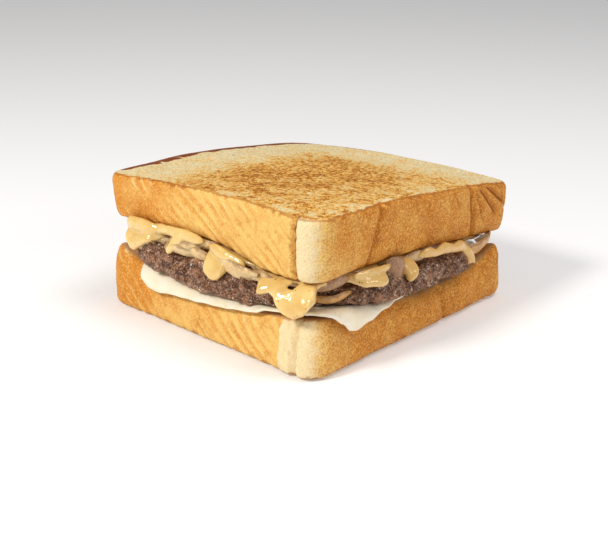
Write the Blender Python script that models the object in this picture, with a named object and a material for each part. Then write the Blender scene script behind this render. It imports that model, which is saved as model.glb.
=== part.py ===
"""Patty melt: two thick slices of griddled toast round a beef patty, a melted
slice of white cheese, a heap of soft onions and a thick orange-yellow sauce.

The part stands on the flat underside of its lower slice, centred on the origin,
with +Z up. The near corner in the reference view is the one at -X, -Y.
All the named sizes are in millimetres. MM turns them into metres.
"""

import math
import random

import bmesh
import bpy
from mathutils import Vector, noise

MM = 0.001

# --- driving dimensions, mm -------------------------------------------------
SLICE_WIDTH = 121.5        # X, between the two plain sides of the loaf
SLICE_LENGTH = 112.7       # Y, from the loaf's base to the shoulders of its crown
SLICE_TAPER = 0.03         # the slice narrows towards the crown by this share each way
SLICE_CORNER = 9.0         # radius of the slice's upright corners
CROWN_RISE = 3.6           # how far the loaf's crown bulges out past +Y
GAP = 0.35                 # left between neighbouring pieces
AROUND = 2 * (SLICE_WIDTH + SLICE_LENGTH)
STRAIGHT_INSET = 5.0       # insets deeper than this shrink towards the middle
SETTLING = 0.25            # more room between the layers, whose faces are uneven
THINNING_ROOM = 0.12       # more room where a cut mesh is thinned out
CLOSE_CUTS = (GAP / 4, 0.01)
WELD = 0.001               # points closer than this are one

PATTY_OVERHANG = -0.6      # past the slice's outline, before the patty's shift
PATTY_SHIFT = (-3.2, -3.2)  # the patty lies towards the near corner and stands out there
PATTY_CORNER = 45.0        # radius of its near corner
PATTY_BLUNT_CORNER = 30.0  # radius of its other corners
PATTY_THICKNESS = 10.0
PATTY_THINNING = 1.8       # thinner towards +X by this much
NEAR_ROOM = (2.9, 24.0, 46.0)   # kept over the patty near two corners, and where that ends
CHEESE_THICKNESS = 2.4
SAUCE_THICKNESS = 1.3
ONION_THICKNESS = 2.4
ONION_CORNER = 24.0
THINNEST_ONION = 0.7
BED_ROOM = 1.0             # between the heap's hidden middle and the sauce
SHARP_ANGLE = math.radians(40.0)

# Heights of the slices' faces at the four corners: near, left, far, right.
LOWER_TOP_CORNERS = (23.8, 22.0, 20.0, 19.4)
UPPER_UNDER_CORNERS = (34.8, 34.2, 26.0, 27.2)
UPPER_TOP_CORNERS = (58.4, 53.2, 45.4, 48.0)

LOWER_SAG = 6.0                       # the lower slice is pressed in between its corners
LOWER_CURLS = ((-58.0, 55.0, 19.0, 5.5), (60.0, -56.0, 15.0, 4.8))   # curled up: x, y, reach, rise
UPPER_UNDER_ARCH = (3.8, -0.9, 1.6)   # rise of the upper slice's underside: middle, per x, per y
UPPER_UNDER_DROOP = (-60.0, -30.0, 13.0, 2.6)   # its low spot: x, y, reach and depth
UPPER_LEAN = (-116.0, 14.0, 1.5)      # its side leans in by the left corner: place t, reach, depth
UPPER_TOP_ARCH = 2.5

# Creases in the crust: place t, lean, depth, half width, lowest and highest z.
# t runs round the slice: 0 at the near corner, up to SLICE_WIDTH at the right corner,
# and down to -SLICE_LENGTH at the left corner.
LOWER_CREASES = (
    (-9.0, 0.0, 1.6, 0.9, -6.0, 30.0),
    (76.5, -0.15, 1.5, 1.2, -6.0, 17.0),
    (-62.0, -0.9, 0.8, 2.2, 0.0, 18.0),
    (101.0, 0.4, 0.8, 2.0, 0.0, 20.0),
    (-175.0, 0.3, 1.0, 1.6, -6.0, 24.0),
)
UPPER_CREASES = (
    (-10.4, 0.0, 1.6, 0.9, 28.0, 70.0),
    (32.0, 0.3, 1.3, 1.3, 32.0, 60.0),
    (60.5, -0.4, 0.9, 1.2, 45.0, 58.0),
    (64.5, -0.2, 0.9, 1.2, 30.0, 42.0),
    (92.8, -0.19, 1.8, 1.3, 24.0, 56.0),
    (104.0, -1.0, 1.0, 1.6, 34.0, 52.0),
    (-58.0, -1.1, 0.8, 2.2, 38.0, 56.0),
    (-30.0, -1.1, 0.7, 2.0, 38.0, 58.0),
    (170.0, 0.2, 1.3, 1.3, 22.0, 50.0),
)

# How far the cheese reaches past the start of the slice's rim, at places t.
CHEESE_REACH = (
    (-AROUND / 2, -6.0), (-172.0, 4.0), (-140.0, 1.5), (-112.0, -7.0), (-94.0, -5.0), (-90.8, 1.0),
    (-88.5, 7.6), (-84.0, 9.4), (-68.0, 6.6), (-50.0, 5.2), (-34.0, 4.0), (-28.0, 3.4), (-25.0, 1.4),
    (-14.0, 0.2), (0.0, -0.4), (5.0, 1.2), (9.0, 2.6), (13.0, 5.8), (17.0, 8.6), (20.0, 9.0), (28.0, 6.8),
    (38.0, 3.8), (48.0, 1.6), (62.0, -1.6), (76.0, -4.5), (92.0, -6.0), (121.0, -8.0), (150.0, 3.0),
    (176.0, 5.0), (205.0, 0.0), (AROUND / 2, -6.0),
)

# How far the patty's outline is cut back, at places t.
PATTY_CUT = (
    (-AROUND / 2, 0.0), (88.0, 0.0), (102.0, 12.0), (121.0, 17.0), (150.0, 6.0), (175.0, 0.0),
    (AROUND / 2, 0.0),
)

# Onion pieces at the sides: from t, to t, from z, to z, width, how far past the slice, flare.
ONION_PIECES = (
    (-99.0, -80.0, 29.0, 31.5, 6.0, 1.0, 0.5),
    (-92.0, -74.0, 34.0, 33.0, 6.5, -1.5, 0.6),
    (-74.0, -57.0, 33.0, 34.5, 8.0, 0.8, 0.4),
    (-66.0, -50.0, 36.5, 37.0, 5.5, -1.5, 0.8),
    (-49.0, -27.0, 34.6, 33.2, 6.4, 1.6, 0.2),
    (-31.0, -16.0, 32.5, 32.0, 5.0, -1.5, 0.5),
    (-2.0, 19.0, 32.6, 33.0, 4.8, -1.6, 0.3),
    (20.0, 38.0, 33.0, 32.0, 5.5, -2.5, 0.6),
    (38.5, 49.5, 30.5, 30.0, 11.0, 0.4, 0.1),
    (50.0, 66.0, 31.6, 31.4, 5.0, -1.0, 0.4),
    (64.0, 82.0, 31.0, 30.0, 5.0, -2.0, 0.3),
)
HIDDEN_ONION_PIECES = 8
HIDDEN_ONION_SEED = 4

# How far the sauce hangs below its layer under the upper slice, at places t.
SAUCE_DROP = (
    (-AROUND / 2, 0.5), (-180.0, 0.5), (-172.0, 6.0), (-165.0, 0.6), (-152.0, 1.6), (-143.0, 0.5),
    (-136.5, 5.8), (-130.0, 0.5), (-118.0, 0.5), (-99.0, 0.5), (-96.0, 5.0), (-92.0, 8.4), (-88.0, 6.4),
    (-83.0, 4.0), (-78.0, 2.4), (-75.0, 0.6), (-70.0, 0.5), (-63.0, 1.6), (-57.0, 0.6), (-53.5, 1.8),
    (-51.0, 7.4), (-47.0, 9.0), (-43.5, 7.0), (-40.0, 2.6), (-34.0, 0.6), (-29.0, 0.8), (-26.5, 3.0),
    (-23.5, 4.2), (-20.0, 3.4), (-16.5, 3.8), (-14.0, 6.2), (-10.5, 7.8), (-7.0, 8.6), (-3.5, 8.0),
    (-0.5, 5.0), (2.5, 1.8), (4.5, 0.6), (13.0, 0.5), (18.0, 1.2), (24.0, 3.2), (31.0, 4.6), (35.5, 4.4),
    (37.5, 0.7), (45.5, 0.7), (48.0, 7.2), (51.0, 5.0), (56.0, 1.2), (64.0, 1.4), (72.0, 2.0),
    (80.0, 1.8), (86.0, 3.6), (89.0, 7.4), (92.0, 2.0), (95.0, 0.5), (128.0, 0.5), (133.5, 6.0),
    (139.0, 0.6), (156.0, 2.2), (170.0, 0.5), (178.0, 5.2), (185.0, 0.6), (206.0, 2.0), (AROUND / 2, 0.5),
)
SAUCE_START = 5.0          # the sauce turns down from this far in from the outline
SAUCE_REACH = (-4.4, 3.2)  # how far past the outline its edge comes: where it ends short, where it hangs
SAUCE_HANG_THICKNESS = 2.4
SAUCE_SHORT = ((-112.7, 12.0, 5.0), (121.5, 14.0, 5.0))   # it stays further in: place t, reach, by how much

# Streams of sauce that run across, as paths of (t, z, how far past the slice, half width).
SAUCE_STREAMS = (
    ((-63.0, 38.6, -3.0, 2.6), (-66.0, 38.0, 1.2, 2.5), (-69.0, 34.6, 2.8, 2.0), (-72.0, 31.4, 3.2, 1.5)),
)
STREAM_DEPTH = 0.62        # a stream's depth as a share of its width

# --- colours ----------------------------------------------------------------
CRUST_COLOUR = (0.62, 0.33, 0.10)
PATTY_COLOUR = (0.16, 0.075, 0.042)
CHEESE_COLOUR = (0.87, 0.81, 0.62)
ONION_COLOUR = (0.45, 0.29, 0.15)
SAUCE_COLOUR = (0.88, 0.58, 0.20)


# --- small helpers ----------------------------------------------------------
def clamp(value, low=0.0, high=1.0):
    return max(low, min(high, value))


def smooth(low, high, value):
    """0 below low, 1 above high, with an eased step between."""
    t = clamp((value - low) / (high - low))
    return t * t * (3.0 - 2.0 * t)


def clear_scene():
    for item in list(bpy.data.objects):
        bpy.data.objects.remove(item, do_unlink=True)


def make_material(name, colour, roughness):
    material = bpy.data.materials.new(name)
    material.use_nodes = True
    shader = material.node_tree.nodes["Principled BSDF"]
    shader.inputs["Base Color"].default_value = (*colour, 1.0)
    shader.inputs["Roughness"].default_value = roughness
    shader.inputs["Metallic"].default_value = 0.0
    return material


def link_object(name, bm, material=None):
    """Turn a bmesh in millimetres into a named object in metres."""
    bmesh.ops.poke(bm, faces=[face for face in bm.faces if len(face.verts) > 4])
    bmesh.ops.triangulate(bm, faces=bm.faces)
    bmesh.ops.recalc_face_normals(bm, faces=bm.faces)
    bmesh.ops.scale(bm, vec=(MM, MM, MM), verts=bm.verts)
    mesh = bpy.data.meshes.new(name)
    bm.to_mesh(mesh)
    bm.free()
    item = bpy.data.objects.new(name, mesh)
    bpy.context.scene.collection.objects.link(item)
    if material:
        mesh.materials.append(material)
    return item


def loft(rings):
    """A closed solid through a stack of rings of as many points each, lowest first."""
    bm = bmesh.new()
    loops = [[bm.verts.new(point) for point in ring] for ring in rings]
    count = len(loops[0])
    for lower, upper in zip(loops, loops[1:]):
        for i in range(count):
            j = (i + 1) % count
            bm.faces.new((lower[i], lower[j], upper[j], upper[i]))
    bm.faces.new(list(reversed(loops[0])))
    bm.faces.new(loops[-1])
    return bm


# --- the slices' faces as heights over (x, y) --------------------------------
def over_slice(x, y):
    """Position on the slice from -1 to 1 both ways."""
    return clamp(x / (SLICE_WIDTH / 2), -1, 1), clamp(y / (SLICE_LENGTH / 2), -1, 1)


def corner_height(corners, u, v):
    near, left, far, right = corners
    low_side = near * (1 - v) + left * (1 + v)
    high_side = right * (1 - v) + far * (1 + v)
    return (low_side * (1 - u) + high_side * (1 + u)) / 4


def lower_top(x, y):
    u, v = over_slice(x, y)
    height = corner_height(LOWER_TOP_CORNERS, u, v) - LOWER_SAG * (1 - (u * v) ** 2)
    for curl_x, curl_y, reach, rise in LOWER_CURLS:
        height += rise * math.exp(-((x - curl_x) ** 2 + (y - curl_y) ** 2) / reach ** 2)
    return height


def upper_under(x, y):
    u, v = over_slice(x, y)
    middle, per_x, per_y = UPPER_UNDER_ARCH
    droop_x, droop_y, reach, depth = UPPER_UNDER_DROOP
    arch = (middle + per_x * u + per_y * v) * (1 - (u * v) ** 2)
    droop = depth * math.exp(-((x - droop_x) ** 2 + (y - droop_y) ** 2) / reach ** 2)
    return corner_height(UPPER_UNDER_CORNERS, u, v) + arch - droop


def upper_top(x, y):
    u, v = over_slice(x, y)
    uneven = 0.5 * noise.noise(Vector((x, y, 3.0)) * 0.035)
    return corner_height(UPPER_TOP_CORNERS, u, v) + UPPER_TOP_ARCH * (1 - (u * v) ** 2) + uneven


def cheese_top(x, y):
    return lower_top(x, y) + GAP + SETTLING + CHEESE_THICKNESS


def patty_under(x, y):
    return cheese_top(x, y) + GAP + SETTLING


def patty_top(x, y):
    u, _ = over_slice(x, y)
    lumps = 0.9 * noise.noise(Vector((x, y, 7.0)) * 0.11)
    top = patty_under(x, y) + PATTY_THICKNESS - PATTY_THINNING * u + lumps
    room, near, far = NEAR_ROOM
    away = math.hypot(x + SLICE_WIDTH / 2, SLICE_LENGTH / 2 - abs(y))
    return min(top, sauce_under(x, y) - room + 8.0 * smooth(near, far, away))


def sauce_under(x, y):
    return upper_under(x, y) - GAP - SETTLING - SAUCE_THICKNESS


# --- outlines ---------------------------------------------------------------
def signed_place(t):
    """t brought between -AROUND / 2 and AROUND / 2."""
    t %= AROUND
    return t if t <= AROUND / 2 else t - AROUND


def walk_places(step, extra=()):
    """Places t round the slice, evenly spaced, with more at the places in extra."""
    count = round(AROUND / step)
    places = sorted([i * AROUND / count for i in range(count)] + [t % AROUND for t in extra])
    kept = [places[0]]
    for t in places[1:]:
        if t - kept[-1] > 0.9:
            kept.append(t)
    return kept


def outline_point(t, overhang=0.0, corner=SLICE_CORNER):
    """Point and outward direction at place t on the slice's outline, grown by overhang.

    t is measured along the sharp rectangle, anticlockwise from the -X, -Y corner.
    """
    t %= AROUND
    width, length = SLICE_WIDTH, SLICE_LENGTH
    sides = ((width, 0), (length, 90), (width, 180), (length, 270))
    start_corners = ((-1, -1), (1, -1), (1, 1), (-1, 1))
    for (side, heading), (sx, sy) in zip(sides, start_corners):
        if t <= side:
            break
        t -= side
    angle = math.radians(heading)
    along = Vector((math.cos(angle), math.sin(angle)))
    out = Vector((math.sin(angle), -math.cos(angle)))
    start = Vector((sx * width / 2, sy * length / 2))
    eighth = math.radians(45.0)
    if t < corner:
        turn = -eighth * (1 - t / corner)
        centre = start + along * corner - out * corner
    elif t > side - corner:
        turn = eighth * (1 - (side - t) / corner)
        centre = start + along * (side - corner) - out * corner
    else:
        turn = 0.0
        centre = start + along * t - out * corner
    normal = out * math.cos(turn) + along * math.sin(turn)
    point = centre + normal * (corner + overhang)
    up = point.y / (length / 2)
    if up > 0:
        across = clamp(abs(point.x) / (width / 2))
        point.y += CROWN_RISE * math.cos(across * math.pi / 2) ** 1.5 * up
    point.x *= 1 - SLICE_TAPER * up
    return point, normal


def inward(point, normal, inset):
    """The spot that lies inset within the outline: straight in first, then towards the middle."""
    straight = min(inset, STRAIGHT_INSET)
    return (point - normal * straight) * (1 - (inset - straight) / (SLICE_LENGTH / 2))


def table_value(table, t):
    """The value at place t, eased between the entries of a table of (place, value)."""
    for (start, first), (end, last) in zip(table, table[1:]):
        if t <= end:
            return first + (last - first) * smooth(start, end, t)
    return table[-1][1]


# --- bread ------------------------------------------------------------------
def crease_depth(t, z, creases):
    """How far the crust is pulled in at place t and height z."""
    depth = 0.0
    for place, lean, deep, half_width, low, high in creases:
        off = (t - place - lean * (z - (low + high) / 2)) / half_width
        fade = smooth(low, low + 4, z) * (1 - smooth(high - 4, high, z))
        depth += deep * math.exp(-off * off) * fade
    return depth


def crust_relief(t, z, point, creases):
    """Outward relief of the crust: its creases and a slow unevenness."""
    slow = 0.55 * noise.noise(Vector((point.x, point.y, z * 1.6)) * 0.055)
    return slow - crease_depth(signed_place(t), z, creases)


def no_lean(t):
    return 0.0


def upper_lean(t):
    """How far the upper slice's side leans in at its underside."""
    place, reach, depth = UPPER_LEAN
    off = (signed_place(t) - place) / reach
    return depth * math.exp(-off * off)


# Side profiles of the slices from the griddled face to the face that meets the filling:
# inset from the outline, share of the thickness, and a further height in mm.
LOWER_PROFILE = (
    (28.0, 0.0, 0.0),
    (7.0, 0.0, 0.0),
    (2.4, 0.0, 0.15),
    (0.8, 0.0, 0.9),
    (0.1, 0.0, 3.2),
    (0.2, 0.42, 0.0),
    (0.9, 0.76, 0.0),
    (2.2, 1.0, -1.8),
    (3.6, 1.0, -0.6),
    (6.5, 1.0, -0.1),
    (18.0, 1.0, 0.0),
)
UPPER_PROFILE = (
    (28.0, 0.0, 0.0),
    (7.0, 0.0, 0.0),
    (2.2, 0.0, 0.1),
    (0.7, 0.0, 0.5),
    (0.1, 0.0, 2.0),
    (0.1, 0.42, 0.0),
    (0.5, 0.78, 0.0),
    (1.3, 1.0, -1.2),
    (2.8, 1.0, -0.2),
    (6.5, 1.0, 0.0),
    (18.0, 1.0, 0.0),
)


def slice_rings(profile, creases, griddled_height, inner_height, lean):
    """Rings of a slice from its griddled face to its inner face."""
    extra = []
    for place, *_ in creases:
        extra += [place - 2.2, place - 1.0, place, place + 1.0, place + 2.2]
    for corner in (0.0, SLICE_WIDTH, SLICE_WIDTH + SLICE_LENGTH, -SLICE_LENGTH):
        extra += [corner - 9.0, corner - 5.0, corner, corner + 5.0, corner + 9.0]
    places = walk_places(10.0, extra)
    rings = []
    for inset, share, rise in profile:
        keep = 1.0 - smooth(3.0, 16.0, inset)
        ring = []
        for t in places:
            point, normal = outline_point(t)
            spot = inward(point, normal, inset + share * lean(t) * keep)
            start = griddled_height(spot.x, spot.y)
            end = inner_height(spot.x, spot.y)
            z = start + share * (end - start) + rise * math.copysign(1.0, end - start)
            spot = spot + normal * crust_relief(t, z, point, creases) * keep
            ring.append((spot.x, spot.y, z))
        rings.append(ring)
    return rings


def build_bread(material):
    def ground(x, y):
        return 0.0

    lower = slice_rings(LOWER_PROFILE, LOWER_CREASES, ground, lower_top, no_lean)
    upper = slice_rings(UPPER_PROFILE, UPPER_CREASES, upper_top, upper_under, upper_lean)
    upper.reverse()
    return (link_object("bread_bottom", loft(lower), material),
            link_object("bread_top", loft(upper), material))


# --- pieces cut and fused -----------------------------------------------------
def take_evaluated_mesh(item):
    """Apply the object's modifiers to its mesh."""
    bpy.context.view_layer.update()
    evaluated = item.evaluated_get(bpy.context.evaluated_depsgraph_get())
    mesh = bpy.data.meshes.new_from_object(evaluated)
    item.modifiers.clear()
    item.data = mesh


def drop_scraps(item):
    """Keep only the largest closed body of a mesh."""
    bm = bmesh.new()
    bm.from_mesh(item.data)
    bmesh.ops.triangulate(bm, faces=bm.faces)
    bmesh.ops.remove_doubles(bm, verts=bm.verts, dist=WELD * MM)
    left = set(bm.faces)
    bodies = []
    while left:
        stack = [left.pop()]
        body = set(stack)
        while stack:
            for edge in stack.pop().edges:
                beside = edge.link_faces if len(edge.link_faces) == 2 else ()
                for face in beside:
                    if face in left:
                        left.discard(face)
                        body.add(face)
                        stack.append(face)
        bodies.append(body)
    bodies.sort(key=len, reverse=True)
    for body in bodies[1:]:
        bmesh.ops.delete(bm, geom=list(body), context="FACES")
    bm.to_mesh(item.data)
    bm.free()


def thin_out(item, share):
    """Merge the slivers that the cuts leave, down to a share of the triangles."""
    thinning = item.modifiers.new("thinning", "DECIMATE")
    thinning.ratio = share
    take_evaluated_mesh(item)


def shade_rounds(item):
    item.data.shade_smooth()
    item.data.set_sharp_from_angle(angle=SHARP_ANGLE)


def boolean_with(item, others, operation):
    """One Boolean of item with the objects in others, which are then removed."""
    group = bpy.data.collections.new("boolean_group")
    for other in others:
        group.objects.link(other)
    boolean = item.modifiers.new(operation.lower(), "BOOLEAN")
    boolean.operation = operation
    boolean.operand_type = "COLLECTION"
    boolean.collection = group
    boolean.solver = "MANIFOLD"
    take_evaluated_mesh(item)
    for other in others:
        bpy.data.objects.remove(other, do_unlink=True)
    bpy.data.collections.remove(group)


def grown_copy(item, clearance):
    """A copy of a piece whose faces stand out by the clearance, to cut its neighbours with."""
    bm = bmesh.new()
    bm.from_mesh(item.data)
    bmesh.ops.triangulate(bm, faces=bm.faces)
    bm.normal_update()
    for vert in bm.verts:
        vert.co += vert.normal * (clearance * MM * vert.calc_shell_factor())
    mesh = bpy.data.meshes.new("cutter")
    bm.to_mesh(mesh)
    bm.free()
    cutter = bpy.data.objects.new("cutter", mesh)
    bpy.context.scene.collection.objects.link(cutter)
    return cutter


def keep_clear(item, neighbours, share):
    """Cut item so that it keeps the gap to its neighbours, with its mesh thinned to a share.

    The last, closer cuts reach the thin tips that fold over in the grown copy.
    """
    for neighbour in neighbours:
        boolean_with(item, [grown_copy(neighbour, GAP + THINNING_ROOM)], "DIFFERENCE")
    drop_scraps(item)
    thin_out(item, share)
    for clearance in CLOSE_CUTS:
        for neighbour in neighbours:
            boolean_with(item, [grown_copy(neighbour, clearance)], "DIFFERENCE")
    drop_scraps(item)


# --- cheese -----------------------------------------------------------------
RIM_BEND = 4.4             # radius of the cheese's middle where it bends over the rim
RIM_START = 3.0            # the bend starts this far in from the outline


def drape_point(t, reach, lift):
    """Point of the cheese at a distance reach past the rim's start, lift off its middle."""
    if reach < 0:
        inset, drop, tilt = RIM_START - reach, 0.0, 0.0
    elif reach < RIM_BEND * math.pi / 2:
        tilt = reach / RIM_BEND
        inset = RIM_START - RIM_BEND * math.sin(tilt)
        drop = RIM_BEND * (1 - math.cos(tilt))
    else:
        tilt = math.pi / 2
        inset = RIM_START - RIM_BEND
        drop = RIM_BEND + reach - RIM_BEND * tilt
    inset -= lift * math.sin(tilt)
    drop -= lift * math.cos(tilt)
    point, normal = outline_point(t)
    spot = inward(point, normal, inset)
    base = inward(point, normal, max(inset, RIM_START))
    ripple = 0.5 * noise.noise(Vector((t * 0.11, reach * 0.2, 2.0)))
    height = lower_top(base.x, base.y) + GAP + SETTLING + CHEESE_THICKNESS / 2 - drop
    spot += normal * ripple * math.sin(tilt)
    return spot.x, spot.y, height


def build_cheese(material, bread):
    half = CHEESE_THICKNESS / 2
    places = walk_places(8.5, (-92.0, -90.0, -88.0, -86.0, 7.0, 10.0, 13.0, 16.0, 20.0))
    # how far back from the edge, in mm and as a share of the reach, and lift off the middle
    section = ((24.0, 0.0, -half), (4.0, 1.0, -half), (0.0, 0.5, -half), (0.3, 0.0, -half),
               (0.0, 0.0, 0.3 * half), (0.5, 0.0, half), (0.0, 0.5, half), (4.0, 1.0, half),
               (24.0, 0.0, half))
    rings = []
    for back, share, lift in section:
        ring = []
        for t in places:
            reach = table_value(CHEESE_REACH, signed_place(t))
            ring.append(drape_point(t, reach - back - share * max(reach, 2.0), lift))
        rings.append(ring)
    cheese = link_object("cheese", loft(rings), material)
    keep_clear(cheese, [bread], 0.8)
    return cheese


# --- patty ------------------------------------------------------------------
# inset from the patty's outline, share of its thickness, further height, strength of the crags
PATTY_PROFILE = (
    (32.0, 0.0, 0.0, 0.0),
    (8.0, 0.0, 0.0, 0.2),
    (2.6, 0.0, -0.4, 0.8),
    (0.4, 0.0, 1.6, 1.0),
    (0.0, 0.45, 0.0, 1.0),
    (0.7, 0.75, 0.0, 1.0),
    (2.4, 1.0, -1.0, 1.0),
    (6.5, 1.0, -0.1, 0.6),
    (32.0, 1.0, 0.0, 0.0),
)
PATTY_CRAG = 1.5
PATTY_CRACK = (55.0, 2.4, 1.6)        # place t, depth, half width


def patty_outline(t):
    """Point and outward direction on the patty's outline: rounder at the near corner, cut at the right."""
    place = signed_place(t)
    point, normal = outline_point(t, PATTY_OVERHANG, PATTY_CORNER)
    blunt_point, blunt_normal = outline_point(t, PATTY_OVERHANG, PATTY_BLUNT_CORNER)
    share = smooth(45.0, 65.0, abs(place))
    point = point.lerp(blunt_point, share)
    normal = normal.lerp(blunt_normal, share).normalized()
    return inward(point, normal, table_value(PATTY_CUT, place)), normal


def build_patty(material, neighbours):
    places = walk_places(5.2, (PATTY_CRACK[0] - 1.6, PATTY_CRACK[0], PATTY_CRACK[0] + 1.6))
    rings = []
    for inset, share, rise, rough in PATTY_PROFILE:
        ring = []
        for t in places:
            point, normal = patty_outline(t)
            spot = inward(point, normal, inset) + Vector(PATTY_SHIFT)
            start, end = patty_under(spot.x, spot.y), patty_top(spot.x, spot.y)
            z = start + share * (end - start) + rise
            crag = noise.noise(Vector((point.x, point.y, z * 1.3)) * 0.17)
            crag += 0.6 * noise.noise(Vector((point.x, point.y, z * 1.3)) * 0.41)
            place, deep, half_width = PATTY_CRACK
            off = (signed_place(t) - place) / half_width
            crag_out = PATTY_CRAG * crag - deep * math.exp(-off * off)
            spot += normal * crag_out * rough
            lump = noise.noise(Vector((spot.x * 1.2, spot.y * 1.2, 20.0 + z)) * 0.2)
            ring.append((spot.x, spot.y, z + 0.9 * lump * rough))
        rings.append(ring)
    patty = link_object("patty", loft(rings), material)
    keep_clear(patty, neighbours, 0.85)
    return patty


# --- onions -----------------------------------------------------------------
def curved_strip(stations, thickness_out):
    """A strip through stations of (point, outward, half width, half thickness), rounded."""
    corners = ((-1.0, 0.0), (-0.6, -0.9), (0.6, -0.9), (1.0, 0.0), (0.6, 0.9), (-0.6, 0.9))
    rings = []
    for centre, outward, lean, half_width, half_thick in stations:
        upward = (Vector((0, 0, 1)) + outward * lean).normalized()
        ring = []
        for along, across in corners:
            spot = centre + upward * (half_width * along)
            spot = spot + outward * (half_thick * across * thickness_out)
            ring.append(tuple(spot))
        rings.append(ring)
    return loft(rings)


def onion_piece(start, end, z_start, z_end, width, past, flare):
    """One slice of soft onion that follows the side of the sandwich, pointed at both ends."""
    stations = []
    count = 5
    for i in range(count):
        share = i / (count - 1)
        t = start + (end - start) * share
        point, normal = outline_point(t, 0.0, ONION_CORNER)
        belly = math.sin(math.pi * (0.1 + 0.8 * share))
        spot = point + normal * (past - 2.5 + 2.5 * belly)
        z = z_start + (z_end - z_start) * share + 0.7 * math.sin(5.0 * share + start)
        outward = Vector((normal.x, normal.y, 0.0))
        stations.append((Vector((spot.x, spot.y, z)), outward, flare,
                         width / 2 * belly ** 0.7, ONION_THICKNESS / 2))
    return curved_strip(stations, 1.0)


def onion_bed():
    """What holds the onion pieces: the heap's hidden middle, between the patty and the sauce."""
    places = walk_places(11.0)
    section = ((34.0, 0.0), (6.0, 0.0), (3.6, 0.2), (3.2, 0.7), (5.0, 1.0), (34.0, 1.0))
    rings = []
    for inset, share in section:
        ring = []
        for t in places:
            point, normal = outline_point(t, 0.0, ONION_CORNER)
            uneven = 1.0 * noise.noise(Vector((t * 0.13, share * 2.0, 9.0)))
            spot = inward(point, normal, inset + uneven)
            low = patty_top(spot.x, spot.y) + GAP + SETTLING
            high = max(sauce_under(spot.x, spot.y) - GAP - BED_ROOM, low + THINNEST_ONION)
            ring.append((spot.x, spot.y, low + (high - low) * share))
        rings.append(ring)
    return loft(rings)


def hidden_onion_rows():
    """Rows like those of ONION_PIECES for the two far sides."""
    draw = random.Random(HIDDEN_ONION_SEED)
    rows = []
    first, last = SLICE_WIDTH + 6.0, AROUND - SLICE_LENGTH - 12.0
    step = (last - first) / HIDDEN_ONION_PIECES
    for i in range(HIDDEN_ONION_PIECES):
        start = first + i * step + draw.uniform(-2.0, 2.0)
        end = start + draw.uniform(13.0, 20.0)
        point, _ = outline_point((start + end) / 2)
        low = patty_top(point.x, point.y)
        high = sauce_under(point.x, point.y)
        middle = (low + high) / 2
        width = clamp(high - low - 2 * GAP - 2 * SETTLING, 1.4, 4.4)
        rows.append((start, end, middle, middle, width, draw.uniform(-1.5, 1.5), 0.4))
    return rows


def build_onions(material, neighbours):
    onions = link_object("onions", onion_bed(), material)
    pieces = [link_object("piece", onion_piece(*row)) for row in (*ONION_PIECES, *hidden_onion_rows())]
    boolean_with(onions, pieces, "UNION")
    keep_clear(onions, neighbours, 0.8)
    return onions


# --- sauce ------------------------------------------------------------------
# Section of the sauce: inset where it lies flat, quarter turn done, side (-1 inner, 1 outer),
# and how far on past the hanging edge, as a share of the thickness.
SAUCE_SECTION = (
    (34.0, 0.0, -1.0, 0.0),
    (7.0, 0.0, -1.0, 0.0),
    (SAUCE_START, 0.45, -1.0, 0.0),
    (SAUCE_START, 0.78, -1.0, 0.0),
    (SAUCE_START, 1.0, -0.7, 0.0),
    (SAUCE_START, 1.0, 0.0, 0.45),
    (SAUCE_START, 1.0, 0.7, 0.0),
    (SAUCE_START, 0.78, 1.0, 0.0),
    (SAUCE_START, 0.45, 1.0, 0.0),
    (7.0, 0.0, 1.0, 0.0),
    (34.0, 0.0, 1.0, 0.0),
)


def short_of_edge(t):
    """How much further in the sauce's layer ends by the left and right corners."""
    off = signed_place(t)
    return sum(much * math.exp(-((off - place) / reach) ** 2) for place, reach, much in SAUCE_SHORT)


def sauce_point(t, inset, turn, side, past_edge):
    """Point of the sauce, which lies under the upper slice and turns down at its edge."""
    point, normal = outline_point(t)
    spot = inward(point, normal, inset + short_of_edge(t))
    z = sauce_under(spot.x, spot.y) + SAUCE_THICKNESS / 2
    if turn == 0.0:
        return spot.x, spot.y, z + side * SAUCE_THICKNESS / 2
    drop = table_value(SAUCE_DROP, signed_place(t))
    hanging = smooth(0.8, 4.5, drop)
    out = SAUCE_START + SAUCE_REACH[0] + (SAUCE_REACH[1] - SAUCE_REACH[0]) * hanging
    thickness = SAUCE_THICKNESS + (SAUCE_HANG_THICKNESS - SAUCE_THICKNESS) * hanging * turn
    angle = turn * math.pi / 2
    away, down = out * math.sin(angle), drop * (1 - math.cos(angle))
    face = Vector((drop * math.sin(angle), out * math.cos(angle))).normalized()
    away += face.x * side * thickness / 2
    z += face.y * side * thickness / 2 - down - past_edge * thickness
    return spot.x + normal.x * away, spot.y + normal.y * away, z


def sauce_sheet():
    """The sauce's layer with the edge that hangs down at the sides."""
    places = walk_places(9.0, [place for place, _ in SAUCE_DROP])
    return loft([[sauce_point(t, *row) for t in places] for row in SAUCE_SECTION])


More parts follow.
